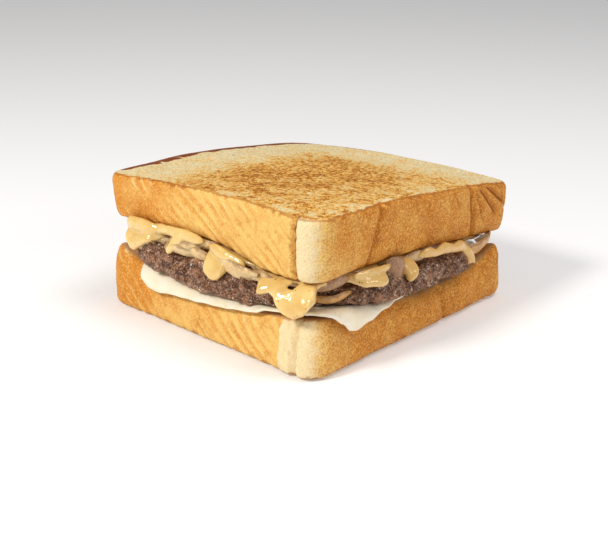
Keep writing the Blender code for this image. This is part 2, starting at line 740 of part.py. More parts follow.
def sauce_stream(path):
    """One stream of sauce: a flattened tube through the path, with a round end."""
    sides = 6
    rings = []
    stations = list(path)
    tip_t, tip_z, tip_past, tip_half = stations[-1]
    step_t, step_z = tip_t - stations[-2][0], tip_z - stations[-2][1]
    length = math.hypot(step_t, step_z)
    for ahead, share in ((0.55, 0.86), (0.95, 0.45)):
        stations.append((tip_t + step_t / length * tip_half * ahead,
                         tip_z + step_z / length * tip_half * ahead, tip_past, tip_half * share))
    for index, (t, z, past, half) in enumerate(stations):
        before = stations[max(index - 1, 0)]
        after = stations[min(index + 1, len(stations) - 1)]
        point, normal = outline_point(t)
        spot = point + normal * past
        centre = Vector((spot.x, spot.y, z))
        outward = Vector((normal.x, normal.y, 0.0))
        sideways = Vector((-normal.y, normal.x, 0.0))
        heading = sideways * (after[0] - before[0]) + Vector((0, 0, 1)) * (after[1] - before[1])
        heading += outward * (after[2] - before[2]) * 0.5
        heading.normalize()
        across = heading.cross(outward).normalized()
        depth_way = across.cross(heading).normalized()
        ring = []
        for k in range(sides):
            angle = 2 * math.pi * k / sides
            offset = across * math.cos(angle) * half
            offset += depth_way * math.sin(angle) * max(half * STREAM_DEPTH, 1.0)
            ring.append(tuple(centre + offset))
        rings.append(ring)
    return loft(rings)


def build_sauce(material, neighbours):
    sauce = link_object("sauce", sauce_sheet(), material)
    boolean_with(sauce, [link_object("stream", sauce_stream(path)) for path in SAUCE_STREAMS], "UNION")
    keep_clear(sauce, neighbours, 0.58)
    return sauce


def build_patty_melt():
    clear_scene()
    lower, upper = build_bread(make_material("crust", CRUST_COLOUR, 0.8))
    cheese = build_cheese(make_material("cheese", CHEESE_COLOUR, 0.35), lower)
    patty = build_patty(make_material("beef", PATTY_COLOUR, 0.5), [lower, cheese, upper])
    onions = build_onions(make_material("onion", ONION_COLOUR, 0.3), [patty, cheese, lower, upper])
    sauce = build_sauce(make_material("sauce", SAUCE_COLOUR, 0.25), [onions, patty, cheese, lower, upper])
    for item in (lower, upper, cheese, patty, onions, sauce):
        shade_rounds(item)


build_patty_melt()
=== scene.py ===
"""Patty melt, dressed: two thick slices of griddled toast round a craggy beef patty,
a melted slice of white cheese, soft onions and a thick orange-yellow sauce.

Sizes are in millimetres unless a name says otherwise. MM turns them into metres.
Place t runs round the slices: 0 at the near corner (-X, -Y), up to SLICE_WIDTH at the
right corner (+X, -Y), and down to -SLICE_LENGTH at the left corner (-X, +Y).
"""

import math
import random
from functools import lru_cache, partial

import bmesh
import bpy
import numpy as np
from mathutils import Matrix, Vector, noise


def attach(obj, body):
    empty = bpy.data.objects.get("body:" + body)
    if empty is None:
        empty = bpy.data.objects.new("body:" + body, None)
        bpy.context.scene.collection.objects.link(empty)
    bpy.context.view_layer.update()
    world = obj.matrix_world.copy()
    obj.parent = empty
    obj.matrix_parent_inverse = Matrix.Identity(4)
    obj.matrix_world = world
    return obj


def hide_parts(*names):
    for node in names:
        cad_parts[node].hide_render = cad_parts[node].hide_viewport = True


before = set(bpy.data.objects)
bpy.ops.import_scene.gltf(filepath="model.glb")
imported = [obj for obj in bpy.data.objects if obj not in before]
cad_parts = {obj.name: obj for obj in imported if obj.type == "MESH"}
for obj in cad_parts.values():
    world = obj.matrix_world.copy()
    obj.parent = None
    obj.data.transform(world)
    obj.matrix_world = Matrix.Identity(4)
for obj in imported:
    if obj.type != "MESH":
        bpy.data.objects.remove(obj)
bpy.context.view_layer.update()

MM = 0.001
TINY = 1e-5                # as good as nothing, for shares from 0 to 1

# --- the sandwich's sizes -----------------------------------------------------
SLICE_WIDTH = 121.5
SLICE_LENGTH = 112.7
SLICE_TAPER = 0.03
SLICE_CORNER = 9.0
CROWN_RISE = 3.6
AROUND = 2 * (SLICE_WIDTH + SLICE_LENGTH)
STRAIGHT_INSET = 5.0       # an inset runs straight in as far as this, then towards the middle
MIDDLE_INSET = STRAIGHT_INSET + SLICE_LENGTH / 2
GAP = 0.35                 # between layers
SETTLING = 0.25            # further room, for their roughness

PATTY_OVERHANG = -0.6
PATTY_SHIFT = Vector((-3.2, -3.2))
PATTY_CORNER = 45.0        # radius of its near corner
PATTY_BLUNT_CORNER = 30.0  # radius of its other corners
PATTY_BLUNTING = (45.0, 65.0)   # distances round from the near corner where it turns blunter
PATTY_THICKNESS = 10.0
PATTY_THINNING = 1.8       # towards +X
PATTY_TOP_LUMPS = 0.9
# Room kept over the patty at its two -X corners, from where to where that fades, and by how much.
NEAR_ROOM = (2.9, 24.0, 46.0, 8.0)
CHEESE_THICKNESS = 2.4
SAUCE_THICKNESS = 1.3
ONION_CORNER = 24.0

# Heights of the slices' faces at the corners: near, left, far, right.
LOWER_TOP_CORNERS = (23.8, 22.0, 20.0, 19.4)
UPPER_UNDER_CORNERS = (34.8, 34.2, 26.0, 27.2)
UPPER_TOP_CORNERS = (58.4, 53.2, 45.4, 48.0)
LOWER_SAG = 6.0
LOWER_CURLS = ((-58.0, 55.0, 19.0, 5.5), (60.0, -56.0, 15.0, 4.8))   # curled up: x, y, reach, rise
UPPER_UNDER_ARCH = (3.8, -0.9, 1.6)
UPPER_UNDER_DROOP = (-60.0, -30.0, 13.0, 2.6)      # x, y, reach and depth of its low spot
UPPER_LEAN = (-116.0, 14.0, 1.5)      # its side leans in by the left corner: place t, reach, depth
UPPER_TOP_ARCH = 2.5
UPPER_TOP_UNEVEN = 0.5

# Creases in the crust: place t, lean, depth, half width, lowest and highest z.
LOWER_CREASES = (
    (-9.0, 0.0, 1.6, 0.9, -6.0, 30.0),
    (76.5, -0.15, 1.5, 1.2, -6.0, 17.0),
    (-62.0, -0.9, 0.8, 2.2, 0.0, 18.0),
    (101.0, 0.4, 0.8, 2.0, 0.0, 20.0),
    (-175.0, 0.3, 1.0, 1.6, -6.0, 24.0),
)
UPPER_CREASES = (
    (-10.4, 0.0, 2.2, 0.6, 28.0, 70.0),
    (32.0, 0.3, 1.8, 1.0, 32.0, 60.0),
    (60.5, -0.4, 0.9, 1.2, 45.0, 58.0),
    (64.5, -0.2, 0.9, 1.2, 30.0, 42.0),
    (92.8, -0.19, 1.8, 1.3, 24.0, 56.0),
    (104.0, -1.0, 1.9, 1.3, 34.0, 52.0),
    (97.5, -0.5, 1.6, 0.9, 34.0, 51.0),
    (110.0, -1.4, 1.9, 1.2, 36.0, 52.0),
    (116.0, -0.9, 0.9, 1.0, 32.0, 48.0),
    (46.0, 0.5, 0.5, 1.4, 36.0, 54.0),
    (-58.0, -1.1, 0.8, 2.2, 38.0, 56.0),
    (-30.0, -1.1, 0.7, 2.0, 38.0, 58.0),
    (170.0, 0.2, 1.3, 1.3, 22.0, 50.0),
)

# How far the cheese runs past the start of the rim's bend, at places t.
CHEESE_REACH = (
    (-AROUND / 2, -6.0), (-172.0, 4.0), (-140.0, 1.5), (-112.0, -7.0), (-94.0, -5.0), (-90.8, 1.0),
    (-88.5, 7.6), (-84.0, 9.4), (-68.0, 6.6), (-50.0, 5.2), (-34.0, 4.0), (-28.0, 3.4), (-25.0, 1.4),
    (-14.0, 0.2), (0.0, -0.4), (5.0, 1.2), (9.0, 2.6), (13.0, 5.8), (17.0, 8.6), (20.0, 9.0), (28.0, 6.8),
    (38.0, 3.8), (48.0, 1.6), (62.0, -1.6), (76.0, -4.5), (92.0, -6.0), (121.0, -8.0), (150.0, 3.0),
    (176.0, 5.0), (205.0, 0.0), (AROUND / 2, -6.0),
)
RIM_BEND = 4.4             # radius of its bend over the slice's edge
RIM_START = 3.0            # inset at which that bend starts
CHEESE_THINNING = 0.4      # share of its thickness that it loses towards its edge
CHEESE_RIPPLE = 0.5
CHEESE_SAG = 0.35

# How far the patty's outline is cut back, at places t.
PATTY_CUT = (
    (-AROUND / 2, 0.0), (88.0, 0.0), (102.0, 12.0), (121.0, 17.0), (150.0, 6.0), (175.0, 0.0),
    (AROUND / 2, 0.0),
)

# How far the sauce hangs down at the upper slice's edge, at places t.
SAUCE_DROP = (
    (-AROUND / 2, 0.5), (-180.0, 0.5), (-172.0, 6.0), (-165.0, 0.6), (-152.0, 1.6), (-143.0, 0.5),
    (-136.5, 5.8), (-130.0, 0.5), (-118.0, 0.5), (-99.0, 0.5), (-96.0, 5.0), (-92.0, 8.4), (-88.0, 6.4),
    (-83.0, 4.0), (-78.0, 2.4), (-75.0, 0.6), (-70.0, 0.5), (-63.0, 1.6), (-57.0, 0.6), (-53.5, 1.8),
    (-51.0, 7.4), (-47.0, 9.0), (-43.5, 7.0), (-40.0, 2.6), (-34.0, 0.6), (-29.0, 0.8), (-26.5, 3.0),
    (-23.5, 4.2), (-20.0, 3.4), (-16.5, 3.8), (-14.0, 6.2), (-10.5, 7.8), (-7.0, 8.6), (-3.5, 8.0),
    (-0.5, 5.0), (2.5, 1.8), (4.5, 0.6), (13.0, 0.5), (18.0, 1.2), (24.0, 3.2), (31.0, 4.6), (35.5, 4.4),
    (37.5, 0.7), (45.5, 0.7), (48.0, 7.2), (51.0, 5.0), (56.0, 1.2), (64.0, 1.4), (72.0, 2.0),
    (80.0, 1.8), (86.0, 3.6), (89.0, 7.4), (92.0, 2.0), (95.0, 0.5), (128.0, 0.5), (133.5, 6.0),
    (139.0, 0.6), (156.0, 2.2), (170.0, 0.5), (178.0, 5.2), (185.0, 0.6), (206.0, 2.0), (AROUND / 2, 0.5),
)
SAUCE_START = 5.0          # inset at which it starts to turn down
SAUCE_REACH = (-4.4, 3.2)  # how far past the slice, where it is short and where it hangs
SAUCE_HANG_THICKNESS = 2.4
# Where the sauce stays further in from the edge: place t, reach, by how much.
SAUCE_SHORT = ((-SLICE_LENGTH, 12.0, 5.0), (SLICE_WIDTH, 14.0, 5.0))


# --- small helpers --------------------------------------------------------------
def clamp(value, low=0.0, high=1.0):
    return max(low, min(high, value))


def eased(low, high, value):
    """0 below low, 1 above high, with an eased step between."""
    t = clamp((value - low) / (high - low))
    return t * t * (3.0 - 2.0 * t)


def window(low, high, soft_low, soft_high, value):
    """1 between low and high, falling to 0 over the soft widths outside them."""
    return eased(low - soft_low, low, value) * (1.0 - eased(high, high + soft_high, value))


def table_value(table, t):
    """The value at place t, eased between the entries of a table of (place, value)."""
    for (start, first), (end, last) in zip(table, table[1:]):
        if t <= end:
            return first + (last - first) * eased(start, end, t)
    return table[-1][1]


def wander(x, y, z, size):
    """Smooth noise from about -1 to 1 whose lumps are about size across."""
    return noise.noise(Vector((x / size, y / size, z / size)))


def signed_place(t):
    """Place t between -AROUND / 2 and AROUND / 2."""
    t %= AROUND
    return t if t <= AROUND / 2 else t - AROUND


@lru_cache(maxsize=None)
def outline_point(t, overhang=0.0, corner=SLICE_CORNER):
    """Point and outward direction at place t on the slice's outline, grown by overhang."""
    t %= AROUND
    width, length = SLICE_WIDTH, SLICE_LENGTH
    sides = ((width, 0), (length, 90), (width, 180), (length, 270))
    start_corners = ((-1, -1), (1, -1), (1, 1), (-1, 1))
    for (side, heading), (sx, sy) in zip(sides, start_corners):
        if t <= side:
            break
        t -= side
    angle = math.radians(heading)
    along = Vector((math.cos(angle), math.sin(angle)))
    out = Vector((math.sin(angle), -math.cos(angle)))
    start = Vector((sx * width / 2, sy * length / 2))
    eighth = math.radians(45.0)
    if t < corner:
        turn = -eighth * (1 - t / corner)
        centre = start + along * corner - out * corner
    elif t > side - corner:
        turn = eighth * (1 - (side - t) / corner)
        centre = start + along * (side - corner) - out * corner
    else:
        turn = 0.0
        centre = start + along * t - out * corner
    normal = out * math.cos(turn) + along * math.sin(turn)
    point = centre + normal * (corner + overhang)
    up = point.y / (length / 2)
    if up > 0:
        across = clamp(abs(point.x) / (width / 2))
        point.y += CROWN_RISE * math.cos(across * math.pi / 2) ** 1.5 * up
    point.x *= 1 - SLICE_TAPER * up
    return point, normal


def inward(point, normal, inset):
    """The spot inset within the outline: straight in first, then towards the middle."""
    straight = min(inset, STRAIGHT_INSET)
    return (point - normal * straight) * (1 - (inset - straight) / (SLICE_LENGTH / 2))


def patty_outline(t):
    """Point and outward direction on the patty's outline: rounder at the near corner, cut at the right."""
    place = signed_place(t)
    point, normal = outline_point(t, PATTY_OVERHANG, PATTY_CORNER)
    blunt_point, blunt_normal = outline_point(t, PATTY_OVERHANG, PATTY_BLUNT_CORNER)
    share = eased(*PATTY_BLUNTING, abs(place))
    point = point.lerp(blunt_point, share)
    normal = normal.lerp(blunt_normal, share).normalized()
    return inward(point, normal, table_value(PATTY_CUT, place)), normal


# --- heights of the layers over (x, y) -------------------------------------------
def over_slice(x, y):
    return clamp(x / (SLICE_WIDTH / 2), -1, 1), clamp(y / (SLICE_LENGTH / 2), -1, 1)


def corner_height(corners, u, v):
    near, left, far, right = corners
    low_side = near * (1 - v) + left * (1 + v)
    high_side = right * (1 - v) + far * (1 + v)
    return (low_side * (1 - u) + high_side * (1 + u)) / 4


def lower_top(x, y):
    u, v = over_slice(x, y)
    height = corner_height(LOWER_TOP_CORNERS, u, v) - LOWER_SAG * (1 - (u * v) ** 2)
    for curl_x, curl_y, reach, rise in LOWER_CURLS:
        height += rise * math.exp(-((x - curl_x) ** 2 + (y - curl_y) ** 2) / reach ** 2)
    return height


def upper_under(x, y):
    u, v = over_slice(x, y)
    middle, per_x, per_y = UPPER_UNDER_ARCH
    droop_x, droop_y, reach, depth = UPPER_UNDER_DROOP
    droop = depth * math.exp(-((x - droop_x) ** 2 + (y - droop_y) ** 2) / reach ** 2)
    arch = (middle + per_x * u + per_y * v) * (1 - (u * v) ** 2)
    return corner_height(UPPER_UNDER_CORNERS, u, v) + arch - droop


def upper_top(x, y):
    u, v = over_slice(x, y)
    uneven = UPPER_TOP_UNEVEN * noise.noise(Vector((x, y, 3.0)) * 0.035)
    return corner_height(UPPER_TOP_CORNERS, u, v) + UPPER_TOP_ARCH * (1 - (u * v) ** 2) + uneven


def cheese_top(x, y):
    return lower_top(x, y) + GAP + SETTLING + CHEESE_THICKNESS


def patty_under(x, y):
    return cheese_top(x, y) + GAP + SETTLING


def patty_top(x, y):
    u, _ = over_slice(x, y)
    lumps = PATTY_TOP_LUMPS * noise.noise(Vector((x, y, 7.0)) * 0.11)
    top = patty_under(x, y) + PATTY_THICKNESS - PATTY_THINNING * u + lumps
    room, near, far, fading = NEAR_ROOM
    away = math.hypot(x + SLICE_WIDTH / 2, SLICE_LENGTH / 2 - abs(y))
    return min(top, sauce_under(x, y) - room + fading * eased(near, far, away))


def sauce_under(x, y):
    return upper_under(x, y) - GAP - SETTLING - SAUCE_THICKNESS


# --- blocks with a fine net of faces, and their sculpting ---------------------------
def deselect_all():
    bpy.ops.object.select_all(action="DESELECT")


def make_active(item):
    deselect_all()
    item.select_set(True)
    bpy.context.view_layer.objects.active = item


def apply_modifier(item, kind, **settings):
    make_active(item)
    modifier = item.modifiers.new(kind.lower(), kind)
    for key, value in settings.items():
        setattr(modifier, key, value)
    bpy.ops.object.modifier_apply(modifier=modifier.name)


def join(pieces):
    """Join pieces into the first of them."""
    make_active(pieces[0])
    for piece in pieces:
        piece.select_set(True)
    bpy.ops.object.join()
    return pieces[0]


def cut_along(axis, cuts):
    """Cut every edge that runs along an axis, so the faces beside it become strips."""
    bpy.ops.mesh.select_all(action="DESELECT")
    net = bmesh.from_edit_mesh(bpy.context.edit_object.data)
    for edge in net.edges:
        run = edge.verts[1].co - edge.verts[0].co
        if abs(run[axis]) > 0.99 * run.length:
            edge.select = True
    bmesh.update_edit_mesh(bpy.context.edit_object.data)
    bpy.ops.mesh.subdivide(number_cuts=cuts)


def add_block(name, cuts):
    """A block from -1 to 1 each way, cut along X, Y and Z."""
    deselect_all()
    bpy.ops.mesh.primitive_cube_add(size=2.0)
    block = bpy.context.object
    block.name = name
    bpy.ops.object.mode_set(mode="EDIT")
    bpy.ops.mesh.select_mode(type="EDGE")
    for axis, count in enumerate(cuts):
        cut_along(axis, count)
    bpy.ops.object.mode_set(mode="OBJECT")
    return block


def ring_face(way, widths):
    """Inset the face at one end of a drum again and again, and close its middle with a fan."""
    bpy.ops.mesh.select_all(action="DESELECT")
    net = bmesh.from_edit_mesh(bpy.context.edit_object.data)
    for face in net.faces:
        face.select = len(face.verts) > 4 and face.normal.z * way > 0.9
    bmesh.update_edit_mesh(bpy.context.edit_object.data)
    for width in widths:
        bpy.ops.mesh.inset(thickness=width)
    bpy.ops.mesh.poke()


def add_drum(name, columns, rows, upper_rings, under_rings):
    """A drum of radius 1 and half height 1, with its side in rows and its ends in rings."""
    deselect_all()
    bpy.ops.mesh.primitive_cylinder_add(vertices=columns, radius=1.0, depth=2.0, end_fill_type="NGON")
    drum = bpy.context.object
    drum.name = name
    bpy.ops.object.mode_set(mode="EDIT")
    bpy.ops.mesh.select_mode(type="EDGE")
    cut_along(2, rows - 1)
    bpy.ops.mesh.select_mode(type="FACE")
    ring_face(1, upper_rings)
    ring_face(-1, under_rings)
    bpy.ops.object.mode_set(mode="OBJECT")
    return drum


def drum_place(x, y):
    """Place t and distance from the middle (0 to 1) of a point of a drum seen from above."""
    turn = math.atan2(y, x) / (2 * math.pi)
    return round((turn * AROUND) % AROUND, 3), min(math.hypot(x, y), 1.0)


def inset_at(edge_inset, far):
    """Inset of a point on a drum's end: edge_inset at its rim, and the slice's middle at its own."""
    return edge_inset + (MIDDLE_INSET - edge_inset) * (1 - far)


def sculpt(block, place_of, marks=()):
    """Move each point of a block to where place_of says, in mm, and keep the marks it gives."""
    mesh = block.data
    count = len(mesh.vertices)
    spots = np.empty(count * 3)
    mesh.vertices.foreach_get("co", spots)
    moved = np.empty((count, 3))
    kept = {mark: np.zeros((count, 3)) for mark in marks}
    for i, (u, v, w) in enumerate(spots.reshape(-1, 3).tolist()):
        spot, *values = place_of(u, v, w)
        moved[i] = spot
        for mark, value in zip(marks, values):
            kept[mark][i] = value
    mesh.vertices.foreach_set("co", (moved * MM).ravel())
    for mark, values in kept.items():
        mesh.attributes.new(mark, "FLOAT_VECTOR", "POINT").data.foreach_set("vector", values.ravel())
    mesh.update()


def finish_piece(piece, name, node, material):
    """Name a piece, smooth it, give it its finish and let it stand for its solid."""
    piece.name = name
    piece.data.name = name
    make_active(piece)
    bpy.ops.object.shade_smooth()
    piece.data.materials.clear()
    piece.data.materials.append(material)
    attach(piece, "root")
    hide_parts(node)
    return piece


SOFTENING = 0.04           # share of a row of knots over which its corners are rounded


def softened(knots, share):
    """Values along a row of knots at a share of its length, with rounded corners."""
    lengths = [0.0]
    for before, after in zip(knots, knots[1:]):
        lengths.append(lengths[-1] + max(math.dist(before, after), 0.2))
    total = []
    for offset in (-1.0, -0.5, 0.0, 0.5, 1.0):
        at = clamp(share + offset * SOFTENING) * lengths[-1]
        total.append([np.interp(at, lengths, column) for column in zip(*knots)])
    return np.mean(total, axis=0).tolist()


def profile(knots):
    """The softened values of a row of knots, each worked out once and kept."""
    return lru_cache(maxsize=None)(partial(softened, knots))


# --- toast ------------------------------------------------------------------------
# Sides of the slices from griddled face to inner face: inset, share of the thickness in
# tenths, and a further height.
LOWER_SIDE = (
    (2.4, 0.0, 0.15),
    (0.8, 0.0, 0.9),
    (0.1, 0.0, 3.2),
    (0.2, 4.2, 0.0),
    (0.9, 7.6, 0.0),
    (2.2, 10.0, -1.8),
    (3.6, 10.0, -0.6),
    (6.5, 10.0, -0.1),
)
UPPER_SIDE = (
    (2.2, 0.0, 0.1),
    (0.7, 0.0, 0.5),
    (0.1, 0.0, 2.0),
    (0.1, 4.2, 0.0),
    (0.5, 7.8, 0.0),
    (1.3, 10.0, -1.2),
    (2.8, 10.0, -0.2),
    (6.5, 10.0, 0.0),
)
AROUND_STEPS = 900         # points round a slice, the cheese and the sauce's edge
SLICE_ROWS = 38
# Widths of the rings of faces on a drum's end, from its rim: griddled top, underside, hidden face.
TOP_RINGS = (0.008,) * 12 + (0.019,) * 40
UNDERSIDE_RINGS = (0.02,) * 6 + (0.07,) * 12
HIDDEN_RINGS = (0.02,) * 4 + (0.1,) * 8
SIDE_FADE = (3.0, 16.0)    # insets between which the crust's relief fades out on the faces
RIDGE_SPACING = 6.4        # of the slanting ridges in the near-left crust
RIDGE_SLANT = 1.2          # mm along for each mm down
RIDGE_HEIGHT = 0.3
CREASE_JAG = 0.55          # how far an upright crease wavers
CREASE_SHADE = (0.6, 2.4)  # depth from which a crease gets painted shade in the crust, and how fast
CRUST_WAVES = 0.55
CRUST_GRAINS = ((0.14, 2.6), (0.1, 1.1))             # height and size
CRUMB_LUMPS = ((0.14, 8.0, 1.6), (0.25, 1.0, 7.0))   # height, seed and size
TEAR_HEIGHT = 0.8

# Stretches of the crust as lowest and highest place t and the soft widths outside them.
RIDGED_LEFT = (-104.0, -18.0, 10.0, 5.0)
RIDGED_FAR = (135.0, 225.0, 10.0, 8.0)      # on both far sides, more weakly
TORN_STRIP = (-17.0, -9.8, 1.0, 0.3)        # of the lower slice
CURLED_LIPS = ((0.7, (-15.0, -11.6, 4.0, 1.2)), (0.5, (-8.6, -3.0, 0.9, 5.0)))   # height, stretch
UPPER_PALE_STRIP = (-9.9, -6.0, 0.5, 15.0)
LOWER_PALE_STRIP = (-17.0, -6.0, 0.5, 15.0)
STREAKED_LEFT = (-110.0, -14.0, 8.0, 6.0)
STREAKED_RIGHT = (20.0, 120.0, 9.0, 9.0)    # more weakly

# How orange (0 straw to 1 orange) and how browned the crust is, by place t.
CRUST_WARMTH = (
    (-AROUND / 2, 0.8), (-150.0, 1.1), (-112.0, 1.05), (-94.0, 0.75), (-60.0, 0.22), (-20.0, 0.05),
    (2.0, 0.1), (14.0, 0.65), (30.0, 0.9), (121.0, 0.9), (170.0, 0.7), (AROUND / 2, 0.8),
)
CRUST_BROWNING = (
    (-AROUND / 2, 0.95), (-150.0, 1.0), (-122.0, 0.95), (-112.0, 0.4), (-98.0, 0.3), (-60.0, 0.1),
    (2.0, 0.0), (16.0, 0.3), (34.0, 0.55), (60.0, 0.5), (90.0, 0.5), (121.0, 0.6), (170.0, 0.5),
    (182.0, 0.78), (215.0, 0.78), (AROUND / 2, 0.95),
)


def crease_depth(t, z, creases):
    depth = 0.0
    for place, lean, deep, half_width, low, high in creases:
        jagged = CREASE_JAG * wander(z, place, 0.0, 2.2) if lean == 0.0 else 0.0
        off = (t - place - jagged - lean * (z - (low + high) / 2)) / half_width
        if abs(off) < 3:
            fade = eased(low, low + 4, z) * (1 - eased(high - 4, high, z))
            depth += deep * math.exp(-off * off) * fade
    return depth


def ridge_crest(t, z):
    """From -1 in the valleys to 1 on the crests of the crust's slanting ridges."""
    strength = clamp(0.45 + 1.4 * wander(t, z, 15.0, 14.0))
    bend = 4.0 * wander(t, z, 5.0, 22.0)
    ridge = math.sin(2 * math.pi * (t + RIDGE_SLANT * z + bend) / RIDGE_SPACING)
    return strength * ridge * (window(*RIDGED_LEFT, t) + 0.5 * window(*RIDGED_FAR, abs(t)))


def crust_relief(spot, point, place, z, on_side, upper):
    """How far the crust stands out at a spot of a slice's side."""
    slow = CRUST_WAVES * noise.noise(Vector((point.x, point.y, z * 1.6)) * 0.055)
    fine = sum(height * wander(spot.x, spot.y, z, size) for height, size in CRUST_GRAINS)
    torn = 0.0 if upper else window(*TORN_STRIP, place)
    tear = TEAR_HEIGHT * torn * wander(place * 2.0, z * 0.6, 4.0, 1.7)
    curl = sum(height * window(*stretch, place) for height, stretch in CURLED_LIPS)
    side = 1.0 if on_side else 0.4
    return slow + side * (fine + tear + curl + RIDGE_HEIGHT * ridge_crest(place, z))


def upper_lean(place):
    """How far the upper slice's side leans in at its underside."""
    middle, reach, depth = UPPER_LEAN
    off = (place - middle) / reach
    return depth * math.exp(-off * off)


def build_slice(name, node, rings, creases, knots, griddled_height, inner_height, upper, material):
    """One slice of toast. Its marks say where the crust is pale, orange or browned, and its relief, which
    also places the painted highlights and shade of its ridges and creases.
    """
    side = profile(knots)
    pale_strip = UPPER_PALE_STRIP if upper else LOWER_PALE_STRIP

    def place_of(x, y, w):
        t, far = drum_place(x, y)
        point, normal = outline_point(t)
        place = signed_place(t)
        h = (1 - w) / 2 if upper else (1 + w) / 2
        on_side = TINY < h < 1 - TINY
        if on_side:
            inset, share, rise = side(h)
        else:
            rim_inset, share, rise = knots[0] if h < 0.5 else knots[-1]
            inset = inset_at(rim_inset, far)
            rise *= eased(0.93, 1.0, far)
        edge = inset if h < 0.5 else -inset
        share /= 10.0
        if upper:
            inset += share * upper_lean(place) * (1 - eased(*SIDE_FADE, inset))
        spot = inward(point, normal, inset)
        start, end = griddled_height(spot.x, spot.y), inner_height(spot.x, spot.y)
        z = start + share * (end - start) + rise * math.copysign(1.0, end - start)
        keep = 1.0 - eased(*SIDE_FADE, inset)
        ridge_shading = 0.0
        if keep > 0:
            crease = crease_depth(place, z, creases)
            shaded, darkening = CREASE_SHADE
            # Ridge crests less the deep creases: where the crust gets painted highlights and shade.
            ridge_shading = ridge_crest(place, z) - darkening * max(crease - shaded, 0.0)
            relief = crust_relief(spot, point, place, z, on_side, upper)
            spot = spot + normal * (relief - crease) * keep
        if not on_side and (upper or h > 0.5):
            crumb = sum(lump * wander(spot.x, spot.y, seed, size) for lump, seed, size in CRUMB_LUMPS)
            z += crumb * eased(2.4, 5.0, inset)
        ragged = place + 0.8 * wander(z, 0.0, 2.0, 3.0)
        pale = window(*pale_strip, ragged)
        warm, brown = table_value(CRUST_WARMTH, place), table_value(CRUST_BROWNING, place)
        streaked = window(*STREAKED_LEFT, place) + 0.5 * window(*STREAKED_RIGHT, place)
        height_share = clamp((z - min(start, end)) / max(abs(end - start), 1.0))
        return ((spot.x, spot.y, z), (pale, warm, brown), (ridge_shading, edge, height_share),
                (place + RIDGE_SLANT * z, z, streaked))

    block = add_drum(name, AROUND_STEPS, SLICE_ROWS, *rings)
    sculpt(block, place_of, ("tone", "form", "run"))
    return finish_piece(block, name, node, material)


# --- cheese -----------------------------------------------------------------------
def drape_point(t, reach, lift):
    """Point of the cheese at a distance reach past the rim's start, lift off its middle."""
    if reach < 0:
        inset, drop, tilt = RIM_START - reach, 0.0, 0.0
    elif reach < RIM_BEND * math.pi / 2:
        tilt = reach / RIM_BEND
        inset = RIM_START - RIM_BEND * math.sin(tilt)
        drop = RIM_BEND * (1 - math.cos(tilt))
    else:
        tilt = math.pi / 2
        inset = RIM_START - RIM_BEND
        drop = RIM_BEND + reach - RIM_BEND * tilt
    inset -= lift * math.sin(tilt)
    drop -= lift * math.cos(tilt)
    point, normal = outline_point(t)
    spot = inward(point, normal, inset)
    base = inward(point, normal, max(inset, RIM_START))
    ripple = CHEESE_RIPPLE * noise.noise(Vector((t * 0.11, reach * 0.2, 2.0)))
    place = signed_place(t)
    sag = CHEESE_SAG * wander(place, reach * 1.5, 3.0, 4.0) * eased(2.0, 8.0, reach)
    height = lower_top(base.x, base.y) + GAP + SETTLING + CHEESE_THICKNESS / 2 - drop
    spot = spot + normal * (ripple + sag) * math.sin(tilt)
    return spot.x, spot.y, height


CHEESE_RINGS = (0.014,) * 18 + (0.08,) * 8
CHEESE_ROWS = 8


def build_cheese(material):
    """The melted slice: flat between the lower slice and the patty, and draped over the rim."""
    half = CHEESE_THICKNESS / 2

    def place_of(x, y, w):
        t, far = drum_place(x, y)
        place = signed_place(t)
        reach = table_value(CHEESE_REACH, place) + 0.3 * wander(place, 0.0, 0.0, 5.0)
        lift = w * half * (1 - CHEESE_THINNING * eased(0.86, 0.99, far))
        if far > 1 - TINY:
            bulge = math.sqrt(max(1 - w * w, 0.0))
            return (drape_point(t, reach - half + half * bulge, w * half * (1 - CHEESE_THINNING)),)
        length = reach - half + MIDDLE_INSET - RIM_START
        return (drape_point(t, reach - half - length * (1 - far), lift),)

    block = add_drum("melted_cheese", AROUND_STEPS, CHEESE_ROWS, CHEESE_RINGS, CHEESE_RINGS)
    sculpt(block, place_of)
    apply_modifier(block, "SMOOTH", factor=0.5, iterations=3)
    return finish_piece(block, "melted_cheese", "cheese", material)


# --- patty ------------------------------------------------------------------------
# Side of the patty from below: inset, share of the thickness in tenths, further height, roughness.
PATTY_KNOTS = (
    (6.5, 0.0, 0.0, 0.3),
    (2.4, 0.0, -0.7, 0.8),
    (0.3, 0.0, 1.2, 1.0),
    (0.0, 4.5, 0.0, 1.0),
    (0.6, 7.5, 0.0, 1.0),
    (2.4, 10.0, -1.0, 1.0),
    (6.5, 10.0, -0.1, 0.6),
)
PATTY_RINGS = (0.012,) * 8 + (0.11,) * 7
PATTY_STEPS = 1100
PATTY_ROWS = 30
PATTY_CRACK = (55.0, 2.4, 1.6)             # place t, depth and half width of the crack in its side
PATTY_CRAGS = ((1.0, 0.17), (0.6, 0.41))   # share and fineness of its lumps
CRAG_OUT = 2.0             # how far the lumps stand out
CRAG_UP = 1.5              # and up
GRAIN_OUT = 0.9
GRAIN_UP = 0.5
GRAIN_SIZES = ((2.8, 0.5), (1.4, 0.4))     # size of the meat's grains and how far they stand out


def meat_grain(x, y, z):
    """Height of the mince's grains, and how deep a point lies between them from 0 to 1, for the painted
    shade there.
    """
    height, hollow_shade = 0.0, 0.0
    for size, strength in GRAIN_SIZES:
        near, second = noise.voronoi(Vector((x, y, z)) / size)[0][:2]
        bead = clamp((second - near) * 2.2)
        height += strength * (bead ** 0.5 - 0.62)
        hollow_shade += 0.5 * (1 - bead) ** 2
    ragged = wander(x, y, z, 6.0)
    height += 0.9 * ragged + 0.22 * wander(x, y, z, 0.9)
    return height, clamp(hollow_shade - 0.45 * ragged)


